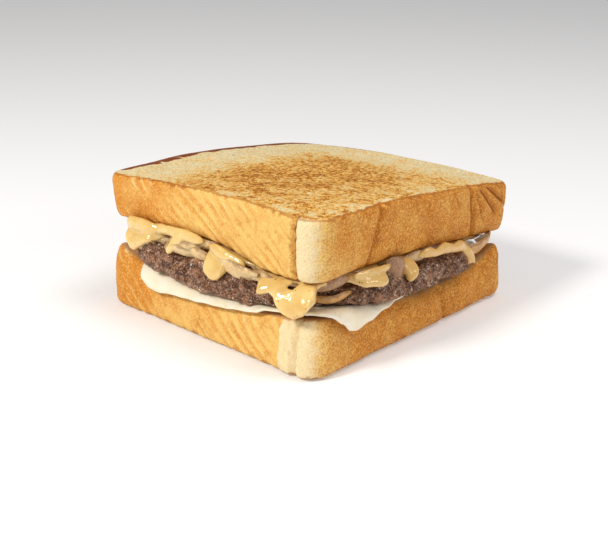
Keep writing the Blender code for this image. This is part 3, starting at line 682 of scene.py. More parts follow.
def build_patty(material):
    """The patty. Its mark says how deep a point lies between the grains and in its crack, for the painted
    shade there.
    """
    side = profile(PATTY_KNOTS)
    crack_place, crack_depth, crack_width = PATTY_CRACK

    def place_of(x, y, w):
        t, far = drum_place(x, y)
        point, normal = patty_outline(t)
        h = (1 + w) / 2
        if TINY < h < 1 - TINY:
            inset, share, rise, rough = side(h)
        else:
            rim_inset, share, _, rough = PATTY_KNOTS[0] if h < 0.5 else PATTY_KNOTS[-1]
            inset, rise = inset_at(rim_inset, far), 0.0
            rough *= eased(0.4, 0.9, far)
        spot = inward(point, normal, inset) + PATTY_SHIFT
        start, end = patty_under(spot.x, spot.y), patty_top(spot.x, spot.y)
        z = start + share / 10.0 * (end - start) + rise
        at = Vector((point.x, point.y, z * 1.3))
        crag = sum(much * noise.noise(at * fineness) for much, fineness in PATTY_CRAGS)
        off = (signed_place(t) - crack_place + 0.6 * wander(z, 0.0, 0.0, 2.0)) / crack_width
        crack = math.exp(-off * off)
        grain, hollow_shade = meat_grain(spot.x, spot.y, z) if rough > 0.05 else (0.0, 0.3)
        spot = spot + normal * (CRAG_OUT * crag - crack_depth * crack + GRAIN_OUT * grain) * rough
        up = CRAG_UP * noise.noise(Vector((spot.x * 1.2, spot.y * 1.2, 20.0 + z)) * 0.2)
        facing = eased(0.6, 1.0, h) - eased(0.4, 0.0, h)
        z += (up + GRAIN_UP * grain * facing) * rough
        return ((spot.x, spot.y, z), clamp(hollow_shade + 0.8 * crack))

    block = add_drum("beef_patty", PATTY_STEPS, PATTY_ROWS, PATTY_RINGS, PATTY_RINGS)
    sculpt(block, place_of, ("meat",))
    return finish_piece(block, "beef_patty", "patty", material)


# --- onions -----------------------------------------------------------------------
# Pieces of onion: from t, to t, from z, to z, width, how far past the slice, flare,
# bluntness of the ends (0 pointed to 1 square) and tone (0 tan to 1 plum; below 0 white, as a painted
# highlight).
ONION_PIECES = (
    (-99.0, -80.0, 29.4, 31.5, 6.0, 1.0, 0.5, 0.2, 0.15),
    (-92.0, -74.0, 34.0, 33.0, 6.5, -1.5, 0.6, 0.3, 0.1),
    (-76.0, -60.0, 32.0, 33.5, 6.0, 1.8, 0.9, 0.4, 0.1),
    (-74.0, -57.0, 34.0, 35.5, 7.0, 0.8, 0.4, 0.3, 0.2),
    (-66.0, -50.0, 36.5, 37.0, 5.5, -1.5, 0.8, 0.3, 0.1),
    (-49.0, -27.0, 34.6, 33.2, 6.6, 1.8, 0.25, 0.05, 0.25),
    (-46.0, -24.0, 32.2, 31.4, 3.6, 0.6, 0.8, 0.1, 0.35),
    (-31.0, -16.0, 32.5, 32.0, 5.0, -1.5, 0.5, 0.3, 0.4),
    (-2.0, 19.0, 32.6, 33.0, 5.4, -0.6, 0.3, 0.15, 0.8),
    (20.0, 38.0, 33.0, 32.0, 5.5, -2.5, 0.6, 0.3, 0.6),
    (37.8, 49.0, 30.8, 30.2, 11.0, 1.2, 0.1, 0.95, 0.95),
    (50.0, 66.0, 31.6, 31.4, 5.0, -1.0, 0.4, 0.3, 0.5),
    (64.0, 82.0, 31.0, 30.0, 5.0, -2.0, 0.3, 0.3, 0.6),
    (86.0, 115.0, 25.4, 26.4, 8.6, 0.2, 0.6, 0.5, 1.7),
    # A white sliver that stands for a painted highlight.
    (100.0, 113.0, 28.0, 27.4, 3.6, -0.4, 2.4, 0.0, -0.6),
    (-3.0, 24.0, 27.6, 26.4, 4.6, -2.6, 0.9, 0.2, 1.6),
    (-64.0, -50.0, 33.6, 33.0, 5.4, 0.6, 0.5, 0.3, 0.05),
)
HIDDEN_ONION_PIECES = 16
# Their ranges of change in height, width, distance past the slice, flare, bluntness and tone.
HIDDEN_ONION_RANGES = ((-0.8, 0.8), (2.6, 4.6), (-2.2, 1.0), (0.2, 0.8), (0.1, 0.5), (0.0, 0.6))
ONION_SEED = 4
ONION_THICKNESS = 2.0
ONION_BELLY = 2.5          # how far a strip's middle stands out past its ends
ONION_SWAY = 0.7           # how far it winds up and down
ONION_WAVE = 0.5
ONION_CUP = 0.6
ONION_CORE_INSET = 4.2
ONION_CORE_TONE = 0.55
ONION_CORE_STEPS = 360
ONION_CORE_ROWS = 6
ONION_CORE_RINGS = (0.03,) * 6 + (0.1,) * 7
ONION_CUTS = (31, 11, 3)   # of a strip, along, across and through it
NOISE_STEP = 7.3           # from one strip's waves to the next's


def hidden_onion_rows():
    """Pieces like those of ONION_PIECES for the two far sides."""
    draw = random.Random(ONION_SEED)
    first, last = SLICE_WIDTH + 6.0, AROUND - SLICE_LENGTH - 12.0
    step = (last - first) / HIDDEN_ONION_PIECES
    rows = []
    for i in range(HIDDEN_ONION_PIECES):
        start = first + i * step + draw.uniform(-2.0, 2.0)
        end = start + draw.uniform(12.0, 20.0)
        point, _ = outline_point((start + end) / 2)
        low, high = patty_top(point.x, point.y), sauce_under(point.x, point.y)
        middle = (low + high) / 2 + draw.uniform(-0.8, 0.8)
        change, *rest = (draw.uniform(*limits) for limits in HIDDEN_ONION_RANGES)
        rows.append((start, end, middle, middle + change, *rest))
    return rows


def bend_onion(piece, row, seed):
    """Bend a copy of the plain onion strip along the side of the sandwich."""
    start, end, z_start, z_end, width, past, flare, blunt, tone = row

    def place_of(u, v, w):
        share = (u + 1) / 2
        t = start + (end - start) * share
        point, normal = outline_point(t, 0.0, ONION_CORNER)
        belly = math.sin(math.pi * (0.06 + 0.88 * share))
        fullness = belly ** (0.7 - 0.62 * blunt)
        spot = point + normal * (past - ONION_BELLY + ONION_BELLY * belly)
        middle = z_start + (z_end - z_start) * share + ONION_SWAY * math.sin(5.0 * share + start)
        wavy = ONION_WAVE * wander(t, v * 3.0, seed, 4.0)
        cup = 0.9 * v * v - 0.3
        outward = Vector((normal.x, normal.y, 0.0))
        upward = (Vector((0, 0, 1)) + outward * flare).normalized()
        facing = upward.cross(Vector((-normal.y, normal.x, 0.0))).normalized()
        if facing.dot(outward) < 0:
            facing = -facing
        edge = 1 - 0.75 * abs(v) ** 3
        centre = Vector((spot.x, spot.y, middle))
        centre += upward * (v * width / 2 * fullness + 0.25 * wavy)
        half = ONION_THICKNESS / 2 * edge * (0.35 + 0.65 * belly)
        centre += facing * (w * half - cup * ONION_CUP + wavy * 0.5)
        return (tuple(centre), (tone, v, 0.0))

    sculpt(piece, place_of, ("onion",))


def build_onions(material):
    """The heap: its hidden middle, and strips modelled once, copied and bent into place."""
    def core_place(x, y, w):
        t, far = drum_place(x, y)
        point, normal = outline_point(t, 0.0, ONION_CORNER)
        h = (w + 1) / 2
        inset = ONION_CORE_INSET + 1.6 * wander(t, h * 6.0, 9.0, 6.0) - math.sin(math.pi * h)
        spot = inward(point, normal, inset_at(inset, far))
        low = patty_top(spot.x, spot.y) + GAP
        high = max(sauce_under(spot.x, spot.y) - GAP, low + 0.7)
        return ((spot.x, spot.y, low + (high - low) * h), (ONION_CORE_TONE, 0.0, 0.0))

    core = add_drum("onion_core", ONION_CORE_STEPS, ONION_CORE_ROWS, ONION_CORE_RINGS, ONION_CORE_RINGS)
    sculpt(core, core_place, ("onion",))
    strip = add_block("onion_strip", ONION_CUTS)
    pieces = [core]
    for number, row in enumerate((*ONION_PIECES, *hidden_onion_rows())):
        piece = strip.copy()
        piece.data = strip.data.copy()
        bpy.context.scene.collection.objects.link(piece)
        bend_onion(piece, row, number * NOISE_STEP)
        pieces.append(piece)
    bpy.data.objects.remove(strip)
    join(pieces)
    bpy.ops.object.mode_set(mode="EDIT")
    bpy.ops.mesh.select_all(action="SELECT")
    bpy.ops.mesh.normals_make_consistent(inside=False)
    bpy.ops.object.mode_set(mode="OBJECT")
    return finish_piece(core, "soft_onions", "onions", material)


# --- sauce ------------------------------------------------------------------------
# Streams and blobs of sauce as paths of (t, z, how far past the slice, half width).
SAUCE_STREAMS = (
    ((-63.0, 39.0, -2.6, 2.6), (-66.0, 38.4, 1.4, 2.5), (-69.0, 34.6, 2.8, 2.0), (-72.0, 31.4, 3.2, 1.5)),
    ((-82.0, 38.0, -0.4, 2.4), (-74.0, 39.2, 0.8, 2.0), (-64.0, 39.6, 1.0, 2.4), (-54.0, 39.2, 0.4, 1.8)),
    ((-99.0, 36.0, -1.0, 1.8), (-94.0, 37.8, 1.4, 2.8), (-87.0, 38.4, 1.9, 2.8), (-78.0, 38.2, 1.0, 2.0)),
    ((-52.0, 38.0, -0.2, 1.8), (-46.0, 38.0, 1.2, 2.5), (-40.0, 36.6, 1.2, 2.3), (-33.0, 35.4, 0.2, 1.6)),
    ((56.0, 32.4, 0.2, 1.2), (61.0, 33.4, 1.4, 2.2), (66.0, 32.0, 1.8, 1.6), (71.0, 32.6, 1.6, 2.5),
     (77.0, 31.0, 2.0, 1.8), (81.0, 31.0, 1.8, 2.5), (86.0, 29.0, 1.6, 1.8)),
    ((84.0, 29.6, 1.4, 1.8), (87.0, 27.0, 2.4, 2.0), (87.5, 24.0, 2.6, 1.6), (87.0, 21.8, 2.4, 1.1)),
    ((20.0, 34.6, -0.4, 1.2), (27.0, 34.2, 0.8, 1.8), (34.0, 33.6, 0.9, 1.8), (40.0, 33.6, 0.2, 1.3)),
)
STREAM_DEPTH = 0.62        # share of a stream's half width that it stands out
STREAM_CUTS = (31, 9, 9)
SAUCE_RIM_WIDTH = 16.0
SAUCE_RIM_STEPS = 56       # points of the edge's section
SAUCE_GRAIN = 0.55         # size of the sauce's net
SAUCE_LAYER_STEPS = 180
SAUCE_LAYER_ROWS = 2
SAUCE_LAYER_RINGS = (0.12,) * 7
SAUCE_OVERLAP = 2.0        # of the layer and the edge
# Shares of the edge's section: its flat top, its turn down, and where its tip starts.
SAUCE_FLAT = 0.3
SAUCE_TURN = 0.64
SAUCE_TIP = 0.94
SAUCE_HANGING = (0.8, 4.5)     # drops between which it turns from short to hanging
UNEVEN_DROP = 0.5
UNEVEN_OUT = 0.7
UNEVEN_THICKNESS = 0.45
# At the near corner: where the tongue is longer and by how much, where it is shorter and by
# which share, and the middle and half sizes, in place t and share of the turn, of its opening.
TONGUE_LONGER = (-13.0, -8.0, 2.0, 2.5)
TONGUE_EXTRA = 1.2
TONGUE_SHORTER = (-2.0, 3.0, 2.4, 1.5)
TONGUE_CUT = 0.28
OPENING_MIDDLE = (-12.0, 0.26)
OPENING_HALF = (2.7, 0.18)


def short_of_edge(t):
    """How much further in the sauce's layer ends by the left and right corners."""
    off = signed_place(t)
    return sum(much * math.exp(-((off - place) / reach) ** 2) for place, reach, much in SAUCE_SHORT)


def sauce_point(t, turn, side):
    """Point of the sauce that turns down at the upper slice's edge, a quarter turn in all."""
    place = signed_place(t)
    point, normal = outline_point(t)
    spot = inward(point, normal, SAUCE_START + short_of_edge(t))
    z = sauce_under(spot.x, spot.y) + SAUCE_THICKNESS / 2
    drop = table_value(SAUCE_DROP, place) + TONGUE_EXTRA * window(*TONGUE_LONGER, place)
    drop *= 1 - TONGUE_CUT * window(*TONGUE_SHORTER, place)
    drop += UNEVEN_DROP * wander(place, 0.0, 3.0, 4.5) * eased(1.0, 4.0, drop)
    hanging = eased(*SAUCE_HANGING, drop)
    out = SAUCE_START + SAUCE_REACH[0] + (SAUCE_REACH[1] - SAUCE_REACH[0]) * hanging
    out += UNEVEN_OUT * wander(place, turn * 5.0, 7.0, 6.0) * turn
    thickness = SAUCE_THICKNESS + (SAUCE_HANG_THICKNESS - SAUCE_THICKNESS) * hanging * turn
    thickness *= 1 + UNEVEN_THICKNESS * wander(place, turn * 6.0, 1.0, 5.0) * turn
    angle = turn * math.pi / 2
    away, down = out * math.sin(angle), drop * (1 - math.cos(angle))
    face = Vector((drop * math.sin(angle), abs(out) * math.cos(angle) + 0.01)).normalized()
    off = [(at - mid) / half for at, mid, half in zip((place, turn), OPENING_MIDDLE, OPENING_HALF)]
    thickness *= 1 - eased(1.15, 0.75, math.hypot(*off))
    away += face.x * side * thickness / 2
    z += face.y * side * thickness / 2 - down
    return spot + normal * away, z, thickness


def stream_block(path):
    """One stream of sauce: a block stretched along its path, rounded like a drop."""
    def place_of(u, v, w):
        share = (u + 1) / 2
        at = share * (len(path) - 1)
        index = min(int(at), len(path) - 2)
        part = at - index
        before, after = path[index], path[index + 1]
        t, z, past, half = (a + (b - a) * part for a, b in zip(before, after))
        step_t, step_z = after[0] - before[0], after[1] - before[1]
        point, normal = outline_point(t)
        outward = Vector((normal.x, normal.y, 0.0))
        sideways = Vector((-normal.y, normal.x, 0.0))
        heading = (sideways * step_t + Vector((0, 0, 1)) * step_z).normalized()
        across = heading.cross(outward).normalized()
        size = max(abs(v), abs(w), 1e-6) / max(math.hypot(v, w), 1e-6)
        end = math.sqrt(max(1 - max(0.0, abs(u) - 0.7) ** 2 / 0.09, 0.02))
        centre = Vector((point.x, point.y, z)) + outward * past
        centre += across * (v * size * half * end)
        centre += outward * (w * size * max(half * STREAM_DEPTH, 1.0) * end)
        return (tuple(centre),)

    block = add_block("stream", STREAM_CUTS)
    sculpt(block, place_of)
    return block


def sauce_layer():
    """The flat layer under the upper slice, as far as the hanging edge."""
    def place_of(x, y, w):
        t, far = drum_place(x, y)
        point, normal = outline_point(t)
        spot = inward(point, normal, inset_at(SAUCE_RIM_WIDTH - SAUCE_OVERLAP, far))
        z = sauce_under(spot.x, spot.y) + SAUCE_THICKNESS / 2
        return ((spot.x, spot.y, z + w * SAUCE_THICKNESS / 2),)

    layer = add_drum("sauce_layer", SAUCE_LAYER_STEPS, SAUCE_LAYER_ROWS, SAUCE_LAYER_RINGS,
                     SAUCE_LAYER_RINGS)
    sculpt(layer, place_of)
    return layer


def sauce_rim():
    """The hanging edge: a ring whose section runs out along the top, round its tip and back."""
    deselect_all()
    bpy.ops.mesh.primitive_torus_add(major_segments=AROUND_STEPS, minor_segments=SAUCE_RIM_STEPS,
                                     major_radius=1.0, minor_radius=0.3)
    rim = bpy.context.object

    def place_of(x, y, w):
        t, _ = drum_place(x, y)
        section = math.atan2(w, math.hypot(x, y) - 1.0) / math.pi
        side = math.copysign(1.0, section)
        along = 1 - abs(section)
        turn = clamp((along - SAUCE_FLAT) / SAUCE_TURN)
        tip = eased(SAUCE_TIP, 1.0, along)
        thin = math.sqrt(max(1 - tip * tip, 0.0)) * eased(0.0, 0.03, along)
        if turn > 0:
            spot, z, thickness = sauce_point(t, turn, side * thin)
            return ((spot.x, spot.y, z - tip * thickness * 0.45),)
        point, normal = outline_point(t)
        start = SAUCE_START + short_of_edge(t)
        spot = inward(point, normal, SAUCE_RIM_WIDTH + (start - SAUCE_RIM_WIDTH) * along / SAUCE_FLAT)
        z = sauce_under(spot.x, spot.y) + SAUCE_THICKNESS / 2
        return ((spot.x, spot.y, z + side * thin * SAUCE_THICKNESS / 2),)

    sculpt(rim, place_of)
    return rim


def build_sauce(material):
    """The sauce: its hanging edge and its streams run into one another, and its hidden layer."""
    coat = join([sauce_rim(), *map(stream_block, SAUCE_STREAMS)])
    apply_modifier(coat, "REMESH", mode="VOXEL", voxel_size=SAUCE_GRAIN * MM, adaptivity=0.0)
    apply_modifier(coat, "SMOOTH", factor=0.5, iterations=6)
    join([coat, sauce_layer()])
    return finish_piece(coat, "creamy_sauce", "sauce", material)


# --- finishes ---------------------------------------------------------------------
CLOUD_CONTRAST = 2.6


def paint(code):
    """A colour from its six-digit code, as Blender's linear values."""
    parts = [int(code[i:i + 2], 16) / 255.0 for i in (0, 2, 4)]
    return (*(p / 12.92 if p <= 0.04045 else ((p + 0.055) / 1.055) ** 2.4 for p in parts), 1.0)


# Colours of the crust, with a painted highlight on its ridges and painted shade in their valleys and in its
# creases.
STRAW = paint("EABD6C")
ORANGE_CRUST = paint("D08326")
RIDGE_PAINTED_HIGHLIGHT = paint("FAD889")
VALLEY_PAINTED_SHADE = paint("D48B2E")
STREAK_BROWN = paint("C57D24")
BROWNED_CRUST = paint("B96F22")
BLOTCH_BROWN = paint("C17420")
FLECK_CREAM = paint("FBEBC4")
PALE_CRUST = paint("EBD6A8")
GRAIN_GOLD = paint("FFD67C")
GRAIN_CREAM = paint("F8E9C4")
DUST_BROWN = paint("9C5A12")
DUST_TAN = paint("D2A45C")
CREASE_PAINTED_SHADE = paint("7A4112")
RIM_BROWN = paint("A25E1A")
CROWN_BROWN = paint("843F12")

# Colours of the crumb, plain and griddled, with painted shade in its pits.
CRUMB_STRAW = paint("E5D19A")
CRUMB_CREAM = paint("FBF1D2")
CRUMB_SPECK = paint("C7AA6C")
CRUMB_PIT_SHADE = paint("AE8C50")
TOASTED_GOLD = paint("F0C26A")
TOASTED_ORANGE = paint("DE9A38")
TOASTED_BROWN = paint("9C5812")
INNER_CRUMB_BROWN = paint("B5722F")

# Colours of the cheese.
CHEESE_WHITE = paint("F7EEDA")
CHEESE_CREAM = paint("F0E3C6")
CHEESE_OIL = paint("E6C97E")

# Colours of the beef, with painted light, highlights and glints on its grains and painted shade between
# them.
BEEF_BROWN = paint("7C472A")
BEEF_TAN = paint("B47C56")
BEEF_PAINTED_LIGHT = paint("BE8E6E")
BEEF_GAP_SHADE = paint("40200F")
BEEF_SHADE = paint("3C1E0F")
BEEF_GRAIN_HIGHLIGHT = paint("D9AE8C")
BEEF_PAINTED_GLINT = paint("F5E0CA")
BEEF_SPECK = paint("4A2812")
BEEF_HOLLOW_SHADE = paint("2A140A")

# Colours of the onions, with white for a painted highlight.
ONION_GOLD = paint("F0CE96")
ONION_PLUM = paint("A07252")
ONION_WHITE_HIGHLIGHT = paint("F0E6D0")
ONION_AMBER = paint("D9A254")
ONION_BLOTCH = paint("A67A44")
ONION_BROWN_EDGE = paint("7E5230")
ONION_PALE_EDGE = paint("E6D4B0")
ONION_SPECK = paint("DCC79C")

# Colours of the sauce, with painted shade towards +X.
SAUCE_ORANGE = paint("E0B86B")
SAUCE_YELLOW = paint("EACA82")
SAUCE_PAINTED_SHADE = paint("D9A552")
SPICE_RED = paint("BE6A2C")
SPICE_BROWN = paint("6A3A1C")

# Colour of the floor.
FLOOR_WHITE = paint("F2F3F7")


class Signal:
    """A value in a material, which can be added, multiplied and so on."""

    def __init__(self, finish, socket):
        self.finish = finish
        self.socket = socket

    def __add__(self, other):
        return self.finish.maths("ADD", self, other)

    __radd__ = __add__

    def __sub__(self, other):
        return self.finish.maths("SUBTRACT", self, other)

    def __rsub__(self, other):
        return self.finish.maths("SUBTRACT", other, self)

    def __mul__(self, other):
        return self.finish.maths("MULTIPLY", self, other)

    __rmul__ = __mul__


class Finish:
    """A material: a Principled shader and what varies over the surface."""

    def __init__(self, name, **constants):
        self.material = bpy.data.materials.new(name)
        self.material.use_nodes = True
        self.tree = self.material.node_tree
        self.shader = self.tree.nodes["Principled BSDF"]
        for socket, value in constants.items():
            self.shader.inputs[socket.replace("_", " ")].default_value = value
        where = self.add("ShaderNodeTexCoord").outputs["Object"]
        scaled = self.add("ShaderNodeVectorMath", {"operation": "SCALE"},
                          {0: Signal(self, where), "Scale": 1.0 / MM})
        self.place = Signal(self, scaled.outputs[0])

    def add(self, kind, settings=None, sockets=None):
        """A node of a kind, with its settings and the values or links of its sockets."""
        node = self.tree.nodes.new(kind)
        for key, value in (settings or {}).items():
            setattr(node, key, value)
        for key, value in (sockets or {}).items():
            self.feed(node.inputs[key], value)
        return node

    def feed(self, socket, value):
        if isinstance(value, Signal):
            self.tree.links.new(value.socket, socket)
        else:
            socket.default_value = value

    def maths(self, operation, first, second):
        node = self.add("ShaderNodeMath", {"operation": operation}, {0: first, 1: second})
        return Signal(self, node.outputs[0])

    def parts(self, vector):
        node = self.add("ShaderNodeSeparateXYZ", None, {0: vector})
        return [Signal(self, socket) for socket in node.outputs]

    def mark(self, name):
        """The three values of one of the piece's own marks."""
        node = self.add("ShaderNodeAttribute", {"attribute_name": name})
        return self.parts(Signal(self, node.outputs["Vector"]))

    def together(self, x, y, z):
        node = self.add("ShaderNodeCombineXYZ", None, {0: x, 1: y, 2: z})
        return Signal(self, node.outputs[0])

    def shifted(self, where, shift):
        node = self.add("ShaderNodeVectorMath", {"operation": "ADD"}, {0: where, 1: (shift,) * 3})
        return Signal(self, node.outputs[0])

    def clouds(self, size, detail=3.0, roughness=0.5, shift=0.0, where=None):
        """Smooth noise from 0 to 1 with lumps of a size in mm, its middle values spread out."""
        node = self.add("ShaderNodeTexNoise", None, {
            "Vector": self.shifted(where or self.place, shift), "Scale": 1.0 / size,
            "Detail": detail, "Roughness": roughness})
        spread = 0.5 / CLOUD_CONTRAST
        return self.step(Signal(self, node.outputs["Fac"]), 0.5 - spread, 0.5 + spread)

    def cells(self, size, shift):
        """Distance from the nearest of points scattered a size in mm apart."""
        node = self.add("ShaderNodeTexVoronoi", None,
                        {"Vector": self.shifted(self.place, shift), "Scale": 1.0 / size})
        return Signal(self, node.outputs["Distance"])

    def step(self, value, low, high):
        """0 where value is at low, 1 where it is at high, eased between."""
        node = self.add("ShaderNodeMapRange", {"interpolation_type": "SMOOTHSTEP"},
                        {"Value": value, "From Min": low, "From Max": high})
        return Signal(self, node.outputs["Result"])

    def between(self, value, low, full_low, full_high, high):
        """1 where value is between the full ends, eased to 0 at low and high."""
        return self.step(value, low, full_low) * self.step(value, high, full_high)

    def blend(self, mask, first, second):
        """The first colour where mask is 0 and the second where it is 1."""
        node = self.add("ShaderNodeMix", {"data_type": "RGBA"}, {0: mask, 6: first, 7: second})
        return Signal(self, node.outputs[2])

    def relief(self, height, strength):
        """Bump from a height in mm."""
        node = self.add("ShaderNodeBump", None, {"Height": height, "Distance": MM, "Strength": strength})
        self.feed(self.shader.inputs["Normal"], Signal(self, node.outputs["Normal"]))

    def give(self, socket, value):
        self.feed(self.shader.inputs[socket], value)


def crust_finish(name, griddle_field):
    """Toast: straw to orange crust with slanting streaks, painted highlights on its ridges and painted
    shade in their valleys, its creases and its crumb's pits, a dark rim and a griddled face.
    """
    f = Finish(name, Roughness=0.7, Coat_Weight=0.0, Specular_IOR_Level=0.22, Subsurface_Weight=0.05,
               Subsurface_Scale=0.002, Subsurface_Radius=(1.0, 0.6, 0.3))
    pale, warm, brown = f.mark("tone")
    ridge_shading, edge, high = f.mark("form")
    run, z, streaked = f.mark("run")
    broad, middling, fine = f.clouds(11.0), f.clouds(3.0, 3.0, 0.6, 11.0), f.clouds(0.7, 2.0, 0.6, 5.0)
    streaks = f.clouds(1.5, 2.0, 0.5, 3.0, f.together(run, z * 0.13, 0.0))

    golden = f.blend(f.step(warm + 0.5 * broad - 0.25, 0.0, 1.0), STRAW, ORANGE_CRUST)
    # Painted highlight on the ridges' crests and painted shade in their valleys.
    golden = f.blend(streaked * f.step(ridge_shading + 0.8 * streaks, 0.3, 1.6) * 0.42, golden, RIDGE_PAINTED_HIGHLIGHT)
    golden = f.blend(streaked * f.step(ridge_shading, 0.1, -0.9) * 0.5, golden, VALLEY_PAINTED_SHADE)
    golden = f.blend(streaked * f.step(streaks, 0.55, 1.0) * 0.3, golden, STREAK_BROWN)
    browned = f.step(brown + 0.55 * broad + 0.35 * middling - 0.45, 0.35, 1.1)
    golden = f.blend(browned * 0.9, golden, BROWNED_CRUST)
    golden = f.blend(f.step(middling, 0.5, 1.0) * 0.3, golden, BLOTCH_BROWN)
    fleck = f.step(ridge_shading, 0.35, 1.0) * f.step(high, 0.7, 0.82) * f.step(middling, 0.25, 0.6)
    golden = f.blend(fleck * streaked * 0.75, golden, FLECK_CREAM)
    bare = f.step(pale + 0.3 * middling - 0.15, 0.15, 0.95)
    crust = f.blend(bare, golden, PALE_CRUST)
    crust = f.blend(f.step(fine, 0.5, 1.0) * 0.4, crust, f.blend(bare, GRAIN_GOLD, GRAIN_CREAM))
    dusty = (0.5 - 0.3 * bare) * (1 - 0.85 * f.step(streaked, 0.55, 0.9))
    crust = f.blend(f.step(fine, 0.45, 0.0) * dusty, crust, f.blend(bare, DUST_BROWN, DUST_TAN))
    # Painted shade in the deepest creases.
    crust = f.blend(f.step(ridge_shading, -1.1, -3.0) * 0.75, crust, CREASE_PAINTED_SHADE)

    grit, speck = f.clouds(1.7, 4.0, 0.65, 21.0), f.clouds(0.6, 2.0, 0.6, 31.0)
    patches = f.clouds(9.0, 2.0, 0.5, 41.0)
    pits = f.step(f.cells(1.4, shift=3.0), 0.42, 0.12)
    crumb = f.blend(grit, CRUMB_STRAW, CRUMB_CREAM)
    crumb = f.blend(f.step(speck, 0.5, 0.95) * 0.5, crumb, CRUMB_SPECK)
    # Painted shade in the crumb's pits.
    crumb = f.blend(pits * 0.55, crumb, CRUMB_PIT_SHADE)
    heat = griddle_field(f, patches) + 0.95 * grit + 0.5 * speck + 0.3 * patches - 0.92
    griddled = f.blend(f.step(heat, 0.08, 0.26), crumb, TOASTED_GOLD)
    griddled = f.blend(f.step(heat, 0.4, 0.56), griddled, TOASTED_ORANGE)
    griddled = f.blend(f.step(heat, 0.72, 0.92), griddled, TOASTED_BROWN)

    ragged = edge + 0.9 * middling
    face = f.step(ragged, 1.9, 2.8)
    crown = f.step(brown, 0.7, 0.95)
    rim = f.step(ragged, 0.9, 1.6) * (1 - f.step(ragged - (2.4 + 3.4 * broad) * crown, 1.9, 2.7))
    colour = f.blend(face, crust, griddled)
    scorched = f.blend(crown, RIM_BROWN, CROWN_BROWN)
    colour = f.blend(rim * (0.55 + 0.3 * broad + 0.3 * crown), colour, scorched)
    # The inner faces are darker brown.
    inner_brown = f.blend(0.6 + 0.3 * broad, crumb, INNER_CRUMB_BROWN)
    colour = f.blend(f.step(ragged, -2.4, -3.6), colour, inner_brown)
    f.give("Base Color", colour)
    f.give("Roughness", 0.5 + 0.25 * fine)

    crumb_height = 0.3 * grit + 0.1 * speck - 0.3 * pits
    crust_height = 0.1 * middling + (0.09 - 0.07 * bare) * fine + 0.12 * streaks * streaked
    f.relief(face * crumb_height + (1 - face) * crust_height, 0.9)
    return f.material


# Griddled patches along X and along Y: where each starts, is full from, is full to, and ends.
UPPER_PATCH = ((-78.0, -54.0, 26.0, 45.0), (-63.0, -50.0, 12.0, 38.0))
LOWER_PATCH = ((-60.0, -38.0, 38.0, 60.0), (-56.0, -36.0, 36.0, 60.0))
PATCH_RAGGEDNESS = 14.0


def upper_griddle(f, patches):
    """How strongly the upper slice's top is browned, from 0 to 1."""
    ragged = PATCH_RAGGEDNESS * patches - PATCH_RAGGEDNESS / 2
    x, y = (along + ragged for along in f.parts(f.place)[:2])
    across, up = UPPER_PATCH
    away_x, away_y = (x + 8.0) * 0.021, (y - 3.0) * 0.026
    dark = f.step(away_x * away_x + away_y * away_y, 1.5, 0.0)
    return f.between(x, *across) * f.between(y, *up) * (0.52 + 0.22 * dark)


def lower_griddle(f, patches):
    """How strongly the lower slice's underside is browned."""
    x, y, _ = f.parts(f.place)
    across, up = LOWER_PATCH
    ragged = PATCH_RAGGEDNESS * patches - PATCH_RAGGEDNESS / 2
    return f.between(x + ragged, *across) * f.between(y, *up) * 0.62


def cheese_finish():
    """White cheese, a little glossy, with small spots of oil."""
    f = Finish("melted_cheese", Roughness=0.28, Coat_Weight=0.4, Coat_Roughness=0.1, Subsurface_Weight=0.15,
               Subsurface_Scale=0.003, Subsurface_Radius=(1.0, 0.85, 0.5))
    broad, fine = f.clouds(8.0), f.clouds(1.2, 3.0, 0.6, 8.0)
    colour = f.blend(broad, CHEESE_WHITE, CHEESE_CREAM)
    oil = f.step(f.cells(7.5, shift=14.0), 0.12, 0.05)
    colour = f.blend(oil * 0.5, colour, CHEESE_OIL)
    f.give("Base Color", colour)
    f.give("Roughness", 0.2 + 0.2 * broad)
    f.relief(0.22 * f.clouds(5.0, 2.0, 0.4, 2.0) + 0.03 * fine, 0.8)
    return f.material


def beef_finish():
    """Browned mince: paler grains with painted light and highlights, painted shade in the gaps and hollows
    between them and small painted glints.
    """
    f = Finish("browned_beef", Roughness=0.4, Coat_Weight=0.2, Coat_Roughness=0.1, Specular_IOR_Level=0.35,
               Subsurface_Weight=0.04, Subsurface_Scale=0.002, Subsurface_Radius=(1.0, 0.4, 0.3))
    hollow_shade, _, _ = f.mark("meat")
    broad, middling, fine = f.clouds(6.5), f.clouds(2.8, 4.0, 0.62, 9.0), f.clouds(0.6, 2.0, 0.6, 3.0)
    granule = f.cells(2.8, shift=1.7) + 0.3 * middling
    colour = f.blend(broad, BEEF_BROWN, BEEF_TAN)
    # Painted light on the raised lumps.
    colour = f.blend(f.step(middling, 0.5, 1.0) * 0.6, colour, BEEF_PAINTED_LIGHT)
    # Painted shade in the gaps between the granules.
    colour = f.blend(f.step(granule, 0.62, 1.0) * 0.8, colour, BEEF_GAP_SHADE)
    colour = f.blend(f.step(middling, 0.42, 0.05) * 0.85, colour, BEEF_SHADE)
    # Painted highlights on the grains.
    colour = f.blend(f.step(fine, 0.6, 0.95) * 0.6, colour, BEEF_GRAIN_HIGHLIGHT)
    # Small painted glints on the raised parts.
    painted_glint = f.step(f.clouds(0.9, 1.0, 0.5, 51.0), 0.78, 1.0) * f.step(middling, 0.35, 0.8)
    colour = f.blend(painted_glint * 0.85, colour, BEEF_PAINTED_GLINT)
    colour = f.blend(f.step(fine, 0.38, 0.0) * 0.5, colour, BEEF_SPECK)
    # Painted shade in the hollows between the grains and in the crack.
    colour = f.blend(f.step(hollow_shade + 0.25 * middling, 0.7, 1.35), colour, BEEF_HOLLOW_SHADE)
    f.give("Base Color", colour)
    f.give("Roughness", 0.2 + 0.5 * fine)
    f.relief(1.3 * middling + 0.3 * fine - 0.6 * granule, 1.0)
    return f.material


